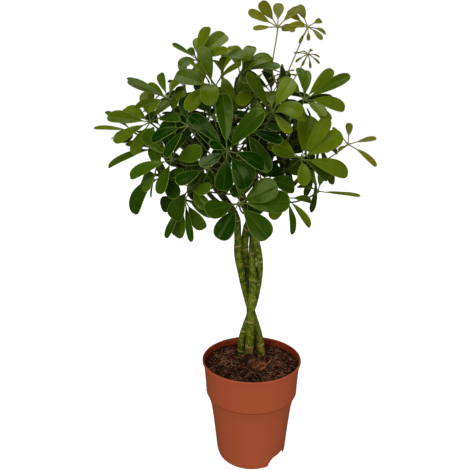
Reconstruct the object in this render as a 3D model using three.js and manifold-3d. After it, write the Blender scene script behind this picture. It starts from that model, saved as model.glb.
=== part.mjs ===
// A potted umbrella plant: four stems braided into one trunk, a crown of compound leaves, soil, and a
// plastic nursery pot. Millimetres, +Z up, the front at -Y, and the origin on the pot's axis at the
// surface that the pot stands on.
import * as THREE from "three";
import { mergeVertices } from "three/addons/utils/BufferGeometryUtils.js";
import Module from "manifold-3d";

const wasm = await Module();
wasm.setup();

// Pot
const POT_HEIGHT = 177;
const RIM_RADIUS = 85;
const RIM_DEPTH = 4;
const WALL = 2;
const POT_SIDES = 32;
const CHANNEL_RADIUS = 26; // the middle disc stands on the ground inside a raised drain channel
const CHANNEL_HEIGHT = 14;
const FOOT_INNER_RADIUS = 56.4;
// The wall's outside as height and radius, from the ground up to under the rim
const WALL_LINE = [
  [0, 58.6],
  [6, 60.5],
  [69, 67],
  [98, 71],
  [117, 78.5],
  [POT_HEIGHT - RIM_DEPTH, 82.8],
];
// A drain arch in the foot: its width at the ground, where its sides would meet its top, and along its
// top
const ARCH_WIDTHS = [48, 40, 20];
const ARCH_HEIGHT = 13;
const ARCH_START = 8; // how far inside the foot the cut begins
const ARCH_AZIMUTHS = [52, 232];
const DRAIN_RADIUS = 4.5;
const DRAIN_CIRCLE = 41;
const DRAIN_COUNT = 6;
const DRAIN_SIDES = 8;

// Soil
const SOIL_GAP = 0.4;
const SOIL_EDGE = 165;
const SOIL_MOUND = 169;
const SOIL_RINGS = [52, 26];
const SOIL_SHOULDER = 2;
const LUMP_HEIGHT = 1.6;
const LUMP_WAVES = [6, 7, 9]; // each wave's length over 2 pi
const LUMP_SWAY = 0.4;

// Stems. Each line holds x, y and z of a point on the stem's middle, from inside the soil to the tip.
const STEM_ROOT = 140;
const STEM_SIDES = 8;
const SHOOT_SIDES = 6;
const STEPS_PER_SPAN = 2;
const SHOOT_RADII = [4.2, 3];
const HOLE_GAP = 0.4;
const HOLE_TOP = 6;
const STEMS = {
  a: {
    radii: [7.6, 5],
    points: [
      [18, 38, STEM_ROOT],
      [18, 38, 166],
      [14, 40, 200],
      [0.5, 46, 245],
      [-9, 42, 280],
      [-18.5, 30, 325],
      [-24, 22, 358],
      [-24, 16, 390],
      [-28, 12, 425],
      [-56, 2, 470],
      [-76, -14, 520],
      [-86, -24, 560],
    ],
  },
  b: {
    radii: [7.2, 6.2],
    points: [
      [4, 54, STEM_ROOT],
      [4, 54, 166],
      [1, 57, 200],
      [-1, 60.5, 245],
      [-5, 56.5, 280],
      [-8.5, 47, 322],
      [-12, 36, 358],
      [-11, 30, 385],
      [-3, 22, 415],
      [28, 6, 460],
      [48, -18, 510],
      [60, -36, 560],
    ],
  },
  c: {
    radii: [8, 4.6],
    points: [
      [-4.5, 22.5, STEM_ROOT],
      [-4.5, 22.5, 166],
      [-2.5, 19.5, 200],
      [-1.5, 16.5, 245],
      [1.5, 20, 280],
      [2, 22.5, 320],
      [1, 35.5, 355],
      [2.5, 46.5, 388],
      [4, 62, 420],
      [8, 84, 470],
      [4, 100, 530],
      [-2, 104, 590],
    ],
  },
  d: {
    radii: [7.2, 4.4],
    points: [
      [-17, 31.5, STEM_ROOT],
      [-17, 31.5, 166],
      [-15.5, 29.5, 200],
      [-1.5, 32, 245],
      [8.5, 35, 280],
      [14, 31, 322],
      [11.5, 22.5, 358],
      [2.5, 13, 395],
      [-8, 2, 425],
      [-22, -8, 480],
      [-30, -6, 550],
      [-26, 4, 640],
    ],
  },
};
// Side shoots: the stem, the number of the stem point that they leave, and their own further points
const SHOOTS = [
  ["a", 8, [[-70, 34, 455], [-100, 52, 500], [-112, 60, 545]]],
  ["b", 8, [[36, 30, 448], [78, 38, 482], [100, 38, 535]]],
  ["c", 8, [[36, 92, 450], [66, 112, 500], [74, 112, 550]]],
  ["c", 8, [[-30, 92, 455], [-58, 108, 505], [-66, 104, 560]]],
  ["d", 8, [[-14, -44, 455], [-22, -76, 495], [-26, -88, 535]]],
  ["d", 10, [[18, 14, 584], [44, 20, 634]]],
];

// Leaves. A leaf is a hub on a petiole with leaflets fanned round it. Angles are in degrees.
const HUB_RADIUS = { dark: 3, light: 3, young: 2.2 };
const HUB_HALF = 0.9;
const STALK = 8;
const YOUNG_STALK = 12;
const TINY_STALK = 7;
const TINY_LENGTH = 20;
const PETIOLE_LENGTH = 80;
const YOUNG_PETIOLE = 85;
const PETIOLE_RADII = { dark: 1.3, light: 1.3, young: 1 };
const PETIOLE_LEAN = 0.35; // how far it leans up the stem as it leaves
const PETIOLE_PULLS = [0.3, 0.32]; // how far its end directions hold, as shares of its span
const PETIOLE_INSET = 1.2;
const COLLAR_DROP = 2.25;
const PETIOLE_SPANS = 4;
const PETIOLE_SAMPLES = 8;
const SEAT_GAP = 0.4;
const LOWEST_SEAT = 395;
const FORK_ROOM = 10;
const SEAT_SHARES = [0.2, 0.5, 0.8];
const SEAT_DROP = 15; // a seat suits a leaf when it is at least this far below the hub
const DROP_COST = 0.9;
const BEHIND_COST = 60;
const HUB_SHIFTS = [0, 8, -8, 16, -16, 24, -24];
const BLADE = 0.8;
const SHORT_LEAFLET = 46;
// Where a leaflet has its sections, as shares of its length: on a short one or at the back there are
// fewer
const SECTIONS = [0.04, 0.36, 0.7, 1];
const FEW_SECTIONS = [0.06, 0.6, 1];
// Half a leaflet's outline: the share of its width at shares of its length, an egg with its broad end
// outwards
const OUTLINE_AT = [0, 0.12, 0.3, 0.5, 0.7, 0.88, 1];
const OUTLINE_WIDTH = [0.07, 0.36, 0.72, 0.95, 1, 0.78, 0.38];
const FOLD = 6;
const LEAST_BEND = 1;
const HUB_SIDE_HALF = 25; // half the widest angle that one leaflet takes of the hub
// The spread of each draw, and how long a leaflet beside the petiole is, as a share of the middle one
const SPREAD = { turn: 5, pitch: 7, bend: 12, roll: 14, length: 0.06, width: 0.1 };
const FULL_LEAF = 8;
const LEAST_GAP = 50; // the narrowest angle between two leaflets that one more can grow in
const SPARE_LEAFLET = [-12, 45, 45.5, 0.54]; // its rise, bend, length, and width as a share of that
const INNER_REACH = 0.85; // the share of the crown's half sizes within which leaves get more leaflets
const SPARE_FROM = 465; // the height from which on they do
const LISTED_LOOSENESS = 0.2; // the share of it that a leaflet with numbers of its own gets
const SIDE_LENGTH = 0.88;
// Changes that a leaflet tries in turn until it is clear: pitch alone, then turn, bend or size with
// pitch
const PITCH_TRIES = [0, 8, -8, 16, -16, 26, -26];
const TURN_TRIES = { steps: [8, -8], pitches: [0, 12, -12, 24, -24] };
const BEND_TRIES = { steps: [30, -30], pitches: [0, 15, -15, 30] };
const SIZE_TRIES = { steps: [0.85, 0.7, 0.55], pitches: [0, 12, -12, 24, -24, 38, -38] };

// The leaves that show from the front, in the order in which they take their room. A row holds the hub's
// x, y and z, the azimuth (from the front towards +X) and elevation that the upper side faces, the kind,
// and the leaflets. These are a list for the leaves that show well, each with its direction, how far it
// rises, how far it bends down, its length, and its width as a share of it. For the others they are
// the number of leaflets, the arc that they fill, its middle, their length, width, rise and bend.
const FRONT_LEAVES = [
  [-39, -128, 535, 5, 38, "dark", [
    [94, 33, 25, 66, 0.34], [133, 11, 25, 60, 0.3], [22, 70, 40, 66, 0.34], [223, 26, 30, 38, 0.5],
    [206, 68, 50, 30, 0.5],
  ]],
  [-24, -112, 463, 3, 22, "dark", [
    [77, -8, 20, 46, 0.62], [0, 13, 15, 60, 0.56], [312, 9, 20, 52, 0.6], [241, 16, 20, 47, 0.6],
    [199, 28, 20, 43, 0.58], [22, 22, 20, 50, 0.6],
  ]],
  [-132, -74, 497, -35, 35, "dark", [
    [254, 46, 95, 66, 0.4], [184, 9, 60, 48, 0.4], [127, 12, 30, 44, 0.44], [0, 31, 40, 40, 0.44],
    [292, 60, 90, 50, 0.36],
    [325, 30, 30, 44, 0.5],
  ]],
  [-116, -90, 521, -25, 32, "dark", [
    [202, 10, 30, 60, 0.34], [111, 16, 30, 58, 0.48], [4, 26, 20, 46, 0.5], [90, 6, 30, 58, 0.46],
    [143, 26, 30, 50, 0.42], [265, -2, 30, 46, 0.4],
  ]],
  [-101, -75, 463, -15, 20, "dark", [
    [190, -6, 40, 38, 0.6], [244, 0, 20, 52, 0.24], [248, -20, 20, 52, 0.56], [289, 17, 10, 56, 0.18],
    [301, -26, 20, 42, 0.5],
    [60, 0, 30, 40, 0.5], [340, 10, 30, 42, 0.5],
  ]],
  [-91, -95, 484, -15, 25, "dark", [
    [160, -1, 30, 36, 0.6], [344, 44, 30, 34, 0.62], [96, -21, 20, 36, 0.6], [131, -1, 30, 36, 0.56],
    [314, 30, 40, 32, 0.5],
  ]],
  [62, -95, 523, 20, 27, "light", [
    [68, 10, 25, 62, 0.46], [24, 16, 20, 56, 0.46], [343, 18, 30, 68, 0.36], [340, 0, 30, 56, 0.3],
    [178, 36, 20, 50, 0.3], [254, 42, 60, 40, 0.4], [52, 34, 40, 56, 0.36],
  ]],
  [69, -60, 603, 20, 32, "light", [
    [69, 8, 20, 46, 0.26], [41, 13, 20, 56, 0.3], [16, 22, 20, 62, 0.28], [350, 22, 40, 56, 0.38],
    [86, 10, 50, 44, 0.4], [275, 42, 40, 44, 0.4],
    [112, 10, 30, 44, 0.46], [300, 40, 40, 40, 0.46],
  ]],
  [21, -100, 584, 10, 35, "light", [
    [159, 64, 25, 60, 0.5], [57, 20, 35, 52, 0.42], [317, 82, 95, 46, 0.5], [86, 16, 60, 52, 0.4],
    [212, 76, 80, 40, 0.45], [284, 43, 40, 44, 0.4],
  ]],
  [-83, -20, 662, -10, 22, "light", [
    [144, -1, 20, 44, 0.18], [125, -10, 15, 36, 0.26], [100, -10, 20, 36, 0.4], [58, -8, 25, 56, 0.44],
    [354, 47, 30, 50, 0.28], [242, 74, 60, 40, 0.36],
    [78, 14, 30, 42, 0.42], [286, 60, 50, 44, 0.46],
  ]],
  [-124, -55, 605, -25, 48, "light", [
    [168, 28, 15, 58, 0.24], [148, 26, 20, 50, 0.3], [176, 22, 30, 54, 0.24], [123, 29, 40, 44, 0.3],
    [278, 47, 60, 48, 0.36], [92, 25, 60, 44, 0.36],
    [205, 24, 30, 40, 0.4], [66, 20, 40, 42, 0.42],
  ]],
  [-185, -10, 560, -15, 55, "light", [
    [180, 14, 15, 54, 0.18], [152, 23, 20, 52, 0.24], [166, -9, 40, 48, 0.26], [328, 24, 30, 38, 0.34],
    [280, 30, 30, 42, 0.42],
  ]],
  [-150, -40, 534, -20, 45, "light", [
    [206, 12, 35, 64, 0.34], [166, 11, 30, 42, 0.36], [183, 9, 30, 52, 0.3], [117, 10, 30, 40, 0.4],
    [302, 22, 60, 40, 0.4],
  ]],
  [-59, -78, 618, -5, 50, "light", [
    [220, 80, 40, 52, 0.46], [106, 26, 30, 54, 0.36], [343, 65, 40, 52, 0.42],
    [280, 74, 120, 52, 0.44], [242, 55, 60, 52, 0.34], [313, 56, 80, 48, 0.4],
  ]],
  [-47, -52, 636, 0, 55, "light", [
    [317, 95, 125, 62, 0.4], [99, 44, 60, 46, 0.42], [72, 64, 80, 46, 0.42], [233, 85, 100, 44, 0.38],
    [284, 44, 120, 50, 0.4],
  ]],
  [-21, -30, 640, 20, 50, "light", [
    [30, 33, 50, 56, 0.4], [308, 62, 50, 62, 0.32], [286, 54, 90, 50, 0.4], [59, 47, 80, 46, 0.4],
    [260, 39, 110, 50, 0.4],
    [100, 30, 30, 42, 0.46],
  ]],
  [-1, -70, 606, 5, 50, "light", [
    [232, 80, 60, 46, 0.44], [80, 16, 50, 44, 0.4], [296, 82, 90, 46, 0.4], [238, 62, 100, 46, 0.4],
    [275, 56, 100, 44, 0.4],
  ]],
  [47, -70, 465, 25, 25, "dark", [
    [289, -26, 20, 50, 0.34], [310, -11, 25, 48, 0.3], [65, -13, 20, 44, 0.44], [217, 23, 30, 40, 0.4],
    [358, -4, 30, 44, 0.3],
  ]],
  [97, -40, 471, 10, 62, "dark", [
    [313, 26, 10, 58, 0.22], [65, 20, 20, 34, 0.4], [102, 22, 30, 36, 0.4], [111, -16, 20, 40, 0.3],
  ]],
  [146, -10, 540, 10, 32, "young", [
    [119, -5, 10, 24, 0.26], [79, 9, 15, 24, 0.48], [8, 15, 20, 32, 0.32], [315, 16, 40, 42, 0.24],
    [216, 35, 30, 20, 0.3],
  ]],
  [37, 25, 716, 0, 20, "young", [
    [158, 16, 12, 36, 0.42], [122, 2, 10, 36, 0.44], [87, -1, 10, 33, 0.48], [46, -1, 15, 36, 0.42],
    [197, 26, 20, 28, 0.34], [12, -4, 25, 32, 0.34], [320, 47, 30, 24, 0.34],
  ]],
  [86, 45, 720, 10, 25, "young", [
    [102, -2, 15, 30, 0.46], [36, -8, 30, 22, 0.38], [5, -10, 30, 28, 0.34], [291, 40, 40, 28, 0.34],
    [261, 31, 30, 16, 0.4], [181, 24, 25, 28, 0.4], [239, 28, 30, 18, 0.3],
    [140, 6, 15, 26, 0.42],
  ]],
  [-106, 0, 627, -20, 60, "light", [
    [141, 13, 50, 44, 0.3], [285, 45, 70, 44, 0.34], [266, 44, 60, 46, 0.32], [92, 28, 60, 44, 0.34],
    [108, 26, 70, 44, 0.34],
  ]],
  [-56, -110, 577, -10, 38, "dark", [7, 240, 90, 54, 0.42, 12, 30]],
  [-91, -110, 567, -15, 38, "dark", [7, 260, 110, 52, 0.42, 0, 30]],
  [-16, -92, 564, 5, 15, "dark", [
    [337, -2, 30, 46, 0.36], [300, -2, 25, 58, 0.4], [288, -28, 20, 50, 0.38], [149, -50, 20, 42, 0.4],
    [47, -20, 40, 44, 0.4],
  ]],
  [-65, -110, 512, -10, 28, "dark", [7, 300, 110, 42, 0.44, -10, 30]],
  [9, -85, 493, 15, 30, "dark", [7, 300, 350, 48, 0.5, -15, 30]],
  [101, -30, 567, 25, 40, "light", [
    [343, -15, 50, 46, 0.36], [250, 28, 50, 48, 0.36], [231, 17, 40, 46, 0.36],
    [188, 46, 40, 44, 0.36], [70, -1, 40, 44, 0.36],
  ]],
  [-153, -40, 573, -25, 45, "light", [7, 220, 150, 54, 0.4, 5, 25]],
  [48, -80, 564, 20, 45, "dark", [7, 260, 70, 52, 0.44, 5, 25]],
  [90, 60, 682, 10, 40, "young", [8, 360, 60, 18, 0.3, -20, 20]],
  [46, 30, 649, 0, 50, "young", [7, 360, 90, 16, 0.26, 0, 10]],
  [-161, 20, 602, -20, 50, "young", [5, 250, 130, 16, 0.26, 10, 10]],
];
// The leaves at the sides and the back stand on an egg-shaped shell, a golden angle apart from low to
// high. Every second one stands a little further in.
const CROWN_MIDDLE = [-22, 18, 538];
const CROWN_HALF = [128, 122, 112];
const INNER_SHARE = 0.82;
const BACK_COUNT = 36;
const GOLDEN_ANGLE = 137.508;
const FIRST_AZIMUTH = -60;
const ELEVATIONS = [-25, 80];
const FRONT_SECTOR = 62; // the front's own leaves fill this much to each side, below the top of the shell
const TOP_SHARE = 0.9;
const LOWEST_HUB = 448;
const TILTS = [0, 60];
const TILT_OVER = 30; // how much more than its place a leaf faces up
const BACK_LEAFLETS = 7; // every second leaf has one more
const BACK_ARC = 330;
const BACK_MIDDLE = -90;
const BACK_LENGTH = 58;
const LENGTH_STEP = 2.5;
// How a leaf's number sets its arc's middle and its length: times the first number, modulo the second
const MIDDLE_CYCLE = [37, 51];
const LENGTH_CYCLE = [7, 5];
const BACK_WIDTH = 0.48;
const BACK_BEND = 30;
const UPPER_SHARE = 0.6;
const UPPER_RISE = 15;
const MOST_LEAVES = 53;
const FEWEST_LEAFLETS = 4;

// The crown's room is a grid of cells, and each taken cell holds the number of the leaf that took it.
const ROOM_LOW = [-330, -300, 300];
const ROOM_HIGH = [300, 300, 820];
const CELL = 2.5;
const STEM_MARK = 255;
const NEAR = 22;
const BLADE_SAMPLES = [21, 9];
const SKIN_STEPS = 8;
const SKIN_SIDES = 10;
const RIM_SIDES = 8;
const SEED = 7;

const vec = (x, y, z) => new THREE.Vector3(x, y, z);
const radians = THREE.MathUtils.degToRad;

// A vector made of amounts of given directions, added to a start.
function reach(start, ...terms) {
  const sum = start.clone();
  for (const [direction, amount] of terms) sum.addScaledVector(direction, amount);
  return sum;
}

// Evenly spaced numbers from one end to the other, both included.
function spaced(from, to, count) {
  return Array.from({ length: count }, (_, i) => from + ((to - from) * i) / (count - 1));
}

// A repeatable random number: each state is the last one times 48271, modulo 2^31 - 1.
const draw = {
  state: SEED,
  spread(amount) {
    this.state = (this.state * 48271) % 2147483647;
    return ((2 * this.state) / 2147483647 - 1) * amount;
  },
};

// The value at x of straight lines drawn through the points (at[i], values[i]).
function between(x, at, values) {
  let i = 0;
  while (i < at.length - 2 && x > at[i + 1]) i += 1;
  return values[i] + ((values[i + 1] - values[i]) * (x - at[i])) / (at[i + 1] - at[i]);
}

// Solids

// Closed surface from points and triangles.
function surface(points, triangles) {
  const geometry = new THREE.BufferGeometry().setFromPoints(points);
  geometry.setIndex(triangles.flat());
  return geometry;
}

// The same surface as a solid that can be cut and joined.
function solid(geometry) {
  const bare = new THREE.BufferGeometry();
  bare.setAttribute("position", geometry.getAttribute("position"));
  bare.setIndex(geometry.index);
  const merged = mergeVertices(bare, 1e-3);
  const mesh = new wasm.Mesh({
    numProp: 3,
    vertProperties: merged.attributes.position.array,
    triVerts: new Uint32Array(merged.index.array),
  });
  return new wasm.Manifold(mesh);
}

// A cut or joined solid as a surface to draw.
function drawn(made) {
  const mesh = made.getMesh();
  const geometry = new THREE.BufferGeometry();
  geometry.setAttribute("position", new THREE.BufferAttribute(mesh.vertProperties, 3));
  geometry.setIndex(new THREE.BufferAttribute(mesh.triVerts, 1));
  return geometry;
}

// A ring of points round a middle, in the plane of two directions.
function ring(middle, across, along, radius, sides) {
  return spaced(0, 2 * Math.PI, sides + 1)
    .slice(0, sides)
    .map((turn) => reach(middle, [across, radius * Math.cos(turn)], [along, radius * Math.sin(turn)]));
}

// A tapered round bar along a path, with flat ends. Each ring stands square to the path, and its first
// direction is the last ring's, laid into the new plane, so the bar doesn't twist.
function bar(path, radii, sides) {
  const points = [];
  const triangles = [];
  let across = vec(1, 0, 0);
  path.forEach((middle, i) => {
    const ahead = path[Math.min(i + 1, path.length - 1)];
    const behind = path[Math.max(i - 1, 0)];
    const along = ahead.clone().sub(behind).normalize();
    across = reach(across, [along, -across.dot(along)]).normalize();
    points.push(...ring(middle, across, along.clone().cross(across), radii[i], sides));
  });
  const last = (path.length - 1) * sides;
  for (let i = 0; i < path.length - 1; i += 1) {
    for (let k = 0; k < sides; k += 1) {
      const a = i * sides + k;
      const b = i * sides + ((k + 1) % sides);
      triangles.push([a, b, b + sides], [a, b + sides, a + sides]);
    }
  }
  for (let k = 1; k < sides - 1; k += 1) {
    triangles.push([0, k + 1, k], [last, last + k, last + k + 1]);
  }
  return surface(points, triangles);
}

// Pot and soil

// Radius of the wall's outside at a height.
function wallRadius(height) {
  return between(height, WALL_LINE.map((p) => p[0]), WALL_LINE.map((p) => p[1]));
}

// The pot's section turned round its axis: the standing disc, the drain channel, the foot, the wall and
// rim.
function potShell() {
  const floor = CHANNEL_HEIGHT + WALL;
  const cup = CHANNEL_RADIUS - WALL;
  const inside = WALL_LINE.filter(([height]) => height > floor).reverse();
  const section = [
    [0, 0],
    [CHANNEL_RADIUS, 0],
    [CHANNEL_RADIUS, CHANNEL_HEIGHT],
    [FOOT_INNER_RADIUS, CHANNEL_HEIGHT],
    [FOOT_INNER_RADIUS, 0],
    ...WALL_LINE.map(([height, radius]) => [radius, height]),
    [RIM_RADIUS, POT_HEIGHT - RIM_DEPTH],
    [RIM_RADIUS, POT_HEIGHT],
    [RIM_RADIUS - WALL, POT_HEIGHT],
    ...inside.map(([height, radius]) => [radius - WALL, height]),
    [wallRadius(floor) - WALL, floor],
    [cup, floor],
    [cup, WALL],
    [0, WALL],
  ];
  const outline = section.map(([radius, height]) => new THREE.Vector2(radius, height));
  return new THREE.LatheGeometry(outline, POT_SIDES).rotateX(Math.PI / 2);
}

// A bar with a round-cornered arch for its section, which cuts one drain arch out of the foot.
function archCutter(azimuth) {
  const [foot, shoulder, top] = ARCH_WIDTHS.map((width) => width / 2);
  const arch = new THREE.Shape();
  arch.moveTo(-foot, -WALL);
  arch.lineTo(foot, -WALL);
  arch.quadraticCurveTo(shoulder, ARCH_HEIGHT, top, ARCH_HEIGHT);
  arch.lineTo(-top, ARCH_HEIGHT);
  arch.quadraticCurveTo(-shoulder, ARCH_HEIGHT, -foot, -WALL);
  const depth = 2 * ARCH_START;
  const cutter = new THREE.ExtrudeGeometry(arch, { depth, bevelEnabled: false, curveSegments: 4 });
  return cutter
    .rotateX(Math.PI / 2)
    .translate(0, ARCH_START - FOOT_INNER_RADIUS, 0)
    .rotateZ(radians(azimuth));
}

// The shell less its drain arches and the holes in the channel's floor.
function pot() {
  let made = solid(potShell());
  for (const azimuth of ARCH_AZIMUTHS) {
    made = made.subtract(solid(archCutter(azimuth)));
  }
  for (let i = 0; i < DRAIN_COUNT; i += 1) {
    const turn = (2 * Math.PI * (i + 0.5)) / DRAIN_COUNT;
    const [x, y] = [DRAIN_CIRCLE * Math.cos(turn), DRAIN_CIRCLE * Math.sin(turn)];
    const hole = new THREE.CylinderGeometry(DRAIN_RADIUS, DRAIN_RADIUS, 4 * WALL, DRAIN_SIDES);
    hole.rotateX(Math.PI / 2);
    hole.translate(x, y, CHANNEL_HEIGHT + WALL / 2);
    made = made.subtract(solid(hole));
  }
  return drawn(made);
}

// How far the soil's top stands above or below its even mound: two crossed waves, the second one
// swaying.
function lump(x, y) {
  const [along, across, sway] = LUMP_WAVES;
  return LUMP_HEIGHT * Math.sin(x / along + 1) * Math.cos(y / across + LUMP_SWAY * Math.sin(x / sway));
}

// The soil fills the pot with a small gap, and its top is a low uneven mound with a plain hole for each
// stem.
function soil(stems) {
  const floor = CHANNEL_HEIGHT + WALL + SOIL_GAP;
  const plug = CHANNEL_RADIUS - WALL - SOIL_GAP;
  const side = WALL_LINE.filter(([height]) => height > floor && height < SOIL_EDGE);
  const inner = (height) => wallRadius(height) - WALL - SOIL_GAP;
  const top = [inner(SOIL_EDGE) - SOIL_SHOULDER, ...SOIL_RINGS];
  const mound = (radius) => SOIL_MOUND - (SOIL_MOUND - SOIL_EDGE) * (radius / top[0]) ** 2;
  const section = [
    [0, WALL + SOIL_GAP],
    [plug, WALL + SOIL_GAP],
    [plug, floor],
    [inner(floor), floor],
    ...side.map(([height]) => [inner(height) - SOIL_GAP, height]),
    [inner(SOIL_EDGE) - SOIL_GAP, SOIL_EDGE - SOIL_SHOULDER],
    ...top.map((radius) => [radius, mound(radius)]),
    [0, SOIL_MOUND],
  ];
  const outline = section.map(([radius, height]) => new THREE.Vector2(radius, height));
  const heap = new THREE.LatheGeometry(outline, POT_SIDES).rotateX(Math.PI / 2);
  const place = heap.getAttribute("position");
  for (let i = 0; i < place.count; i += 1) {
    const [x, y, z] = [place.getX(i), place.getY(i), place.getZ(i)];
    if (z > SOIL_EDGE - SOIL_SHOULDER / 2) place.setZ(i, z + lump(x, y));
  }
  let made = solid(heap);
  for (const stem of stems) {
    const sunk = stem.path.filter((point) => point.z < SOIL_MOUND + 2 * RIM_DEPTH);
    const radii = sunk.map((_, i) => stem.radii[i] + HOLE_GAP);
    sunk[0] = reach(sunk[0], [vec(0, 0, 1), -HOLE_GAP]);
    sunk.push(reach(sunk.at(-1), [vec(0, 0, 1), HOLE_TOP]));
    radii.push(radii.at(-1));
    made = made.subtract(solid(bar(sunk, radii, STEM_SIDES)));
  }
  return drawn(made);
}

// Stems

// Points on a smooth curve through the given ones, with the same number of steps in each span.
function smooth(points) {
  const curve = new THREE.CatmullRomCurve3(points.map((p) => vec(...p)), false, "catmullrom", 0.5);
  return curve.getPoints((points.length - 1) * STEPS_PER_SPAN);
}

// Each stem and shoot as a path with a radius at each step, thinning evenly to its tip.
function growth() {
  const lines = Object.entries(STEMS).map(([stem, { points, radii }]) => {
    return [stem, points, radii, STEM_SIDES];
  });
  for (const [stem, start, points] of SHOOTS) {
    lines.push([stem, [STEMS[stem].points[start], ...points], SHOOT_RADII, SHOOT_SIDES]);
  }
  return lines.map(([stem, points, [thick, thin], sides]) => {
    const path = smooth(points);
    return { stem, path, radii: spaced(thick, thin, path.length), sides };
  });
}

// One stem with its shoots grown into it.
function stemSolid(name, lines) {
  const own = lines.filter((line) => line.stem === name);
  const bars = own.map((line) => solid(bar(line.path, line.radii, line.sides)));
  return drawn(bars.reduce((whole, piece) => whole.add(piece)));
}

// Room in the crown

const room = {
  size: ROOM_LOW.map((low, i) => Math.floor((ROOM_HIGH[i] - low) / CELL)),
  cells: null,

  clear() {
    this.cells = new Uint8Array(this.size[0] * this.size[1] * this.size[2]);
  },

  // The cell of a point, kept one cell inside the grid's faces.
  at(point) {
    const [x, y, z] = [point.x, point.y, point.z].map((value, i) => {
      const cell = Math.floor((value - ROOM_LOW[i]) / CELL);
      return Math.min(Math.max(cell, 1), this.size[i] - 2);
    });
    return (x * this.size[1] + y) * this.size[2] + z;
  },

  // Marks the cells of the points and their neighbours, where they are empty.
  take(points, mark) {
    for (const point of points) {
      const middle = this.at(point);
      for (const x of [-1, 0, 1]) {
        for (const y of [-1, 0, 1]) {
          for (const z of [-1, 0, 1]) {
            const cell = middle + (x * this.size[1] + y) * this.size[2] + z;
            if (this.cells[cell] === 0) this.cells[cell] = mark;
          }
        }
      }
    }
  },

  // Whether no point lies in a taken cell. Cells with the given mark don't count close to the given place.
  free(points, mark, place) {
    return points.every((point) => {
      const taken = this.cells[this.at(point)];
      return taken === 0 || (taken === mark && point.distanceTo(place) < NEAR);
    });
  },
};

// Points all over the skin of a stem or shoot, above the braid.
function skinPoints({ path, radii }) {
  const points = [];
  for (let i = 0; i < path.length - 1; i += 1) {
    for (let step = 0; step < SKIN_STEPS; step += 1) {
      const share = step / SKIN_STEPS;
      const middle = path[i].clone().lerp(path[i + 1], share);
      const radius = radii[i] + (radii[i + 1] - radii[i]) * share;
      if (middle.z <= ROOM_LOW[2]) continue;
      points.push(...ring(middle, vec(1, 0, 0), vec(0, 1, 0), radius, SKIN_SIDES));
    }
  }
  return points;
}

// Leaves

// The direction with an azimuth from the front (-Y) towards +X and an elevation above level.
function facing(azimuth, elevation) {
  const [a, e] = [radians(azimuth), radians(elevation)];
  return vec(Math.sin(a) * Math.cos(e), -Math.cos(a) * Math.cos(e), Math.sin(e));
}

// The rows of the leaves at the sides and the back, in the same form as those at the front.
function backLeaves() {
  const rows = [];
  for (let i = 0; i < BACK_COUNT; i += 1) {
    const share = (i + 0.5) / BACK_COUNT;
    const azimuth = ((i * GOLDEN_ANGLE + FIRST_AZIMUTH + 180) % 360) - 180;
    const elevation = ELEVATIONS[0] + (ELEVATIONS[1] - ELEVATIONS[0]) * share;
    if (Math.abs(azimuth) < FRONT_SECTOR && share < TOP_SHARE) continue;
    const out = facing(azimuth, elevation).toArray();
    const shell = i % 2 ? 1 : INNER_SHARE;
    const hub = out.map((part, k) => CROWN_MIDDLE[k] + shell * CROWN_HALF[k] * part);
    hub[2] = Math.max(hub[2], LOWEST_HUB);
    const tilt = Math.min(TILTS[1], Math.max(TILTS[0], elevation + TILT_OVER));
    const count = BACK_LEAFLETS + (i % 2);
    const middle = BACK_MIDDLE + ((i * MIDDLE_CYCLE[0]) % MIDDLE_CYCLE[1]);
    const length = BACK_LENGTH + LENGTH_STEP * ((i * LENGTH_CYCLE[0]) % LENGTH_CYCLE[1]);
    const rise = share < UPPER_SHARE ? 0 : UPPER_RISE;
    const kind = i % 3 ? "dark" : "light";
    const leaflets = [count, BACK_ARC, middle, length, BACK_WIDTH, rise, BACK_BEND];
    rows.push([...hub, azimuth, tilt, kind, leaflets]);
  }
  return rows;
}

// Leaflets spread evenly over an arc, as a list of them. Those beside the petiole are a little shorter.
function evenLeaflets(count, arc, middle, length, width, rise, bend) {
  const step = arc < 360 ? arc / (count - 1) : 360 / count;
  const first = arc < 360 ? -arc / 2 : 0;
  return Array.from({ length: count }, (_, i) => {
    const turn = first + i * step;
    const shortened = SIDE_LENGTH + (1 - SIDE_LENGTH) * Math.cos(radians(turn));
    return [middle + turn, rise, bend, length * shortened, width];
  });
}

// More leaflets for a leaf with a list of them, in the middle of the widest gaps between their turns.
function spareLeaflets(listed) {
  const turns = listed.map(([turn]) => turn);
  const spares = [];
  while (turns.length < FULL_LEAF) {
    turns.sort((a, b) => a - b);
    const gaps = turns.map((turn, i) => (i > 0 ? turn - turns[i - 1] : turn + 360 - turns.at(-1)));
    const widest = Math.max(...gaps);
    if (widest < LEAST_GAP) break;
    const turn = turns[gaps.indexOf(widest)] - widest / 2;
    turns.push(turn);
    spares.push([turn, ...SPARE_LEAFLET]);
  }
  return spares;
}

// Whether a hub lies well inside the crown, as seen from the front. The leaves further out or lower down
// stand against the light with all the leaflets that they have.
function wellInside(x, z) {
  const across = (x - CROWN_MIDDLE[0]) / CROWN_HALF[0];
  const above = (z - CROWN_MIDDLE[2]) / CROWN_HALF[2];
  return z > SPARE_FROM && Math.hypot(across, above) < INNER_REACH;
}

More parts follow.
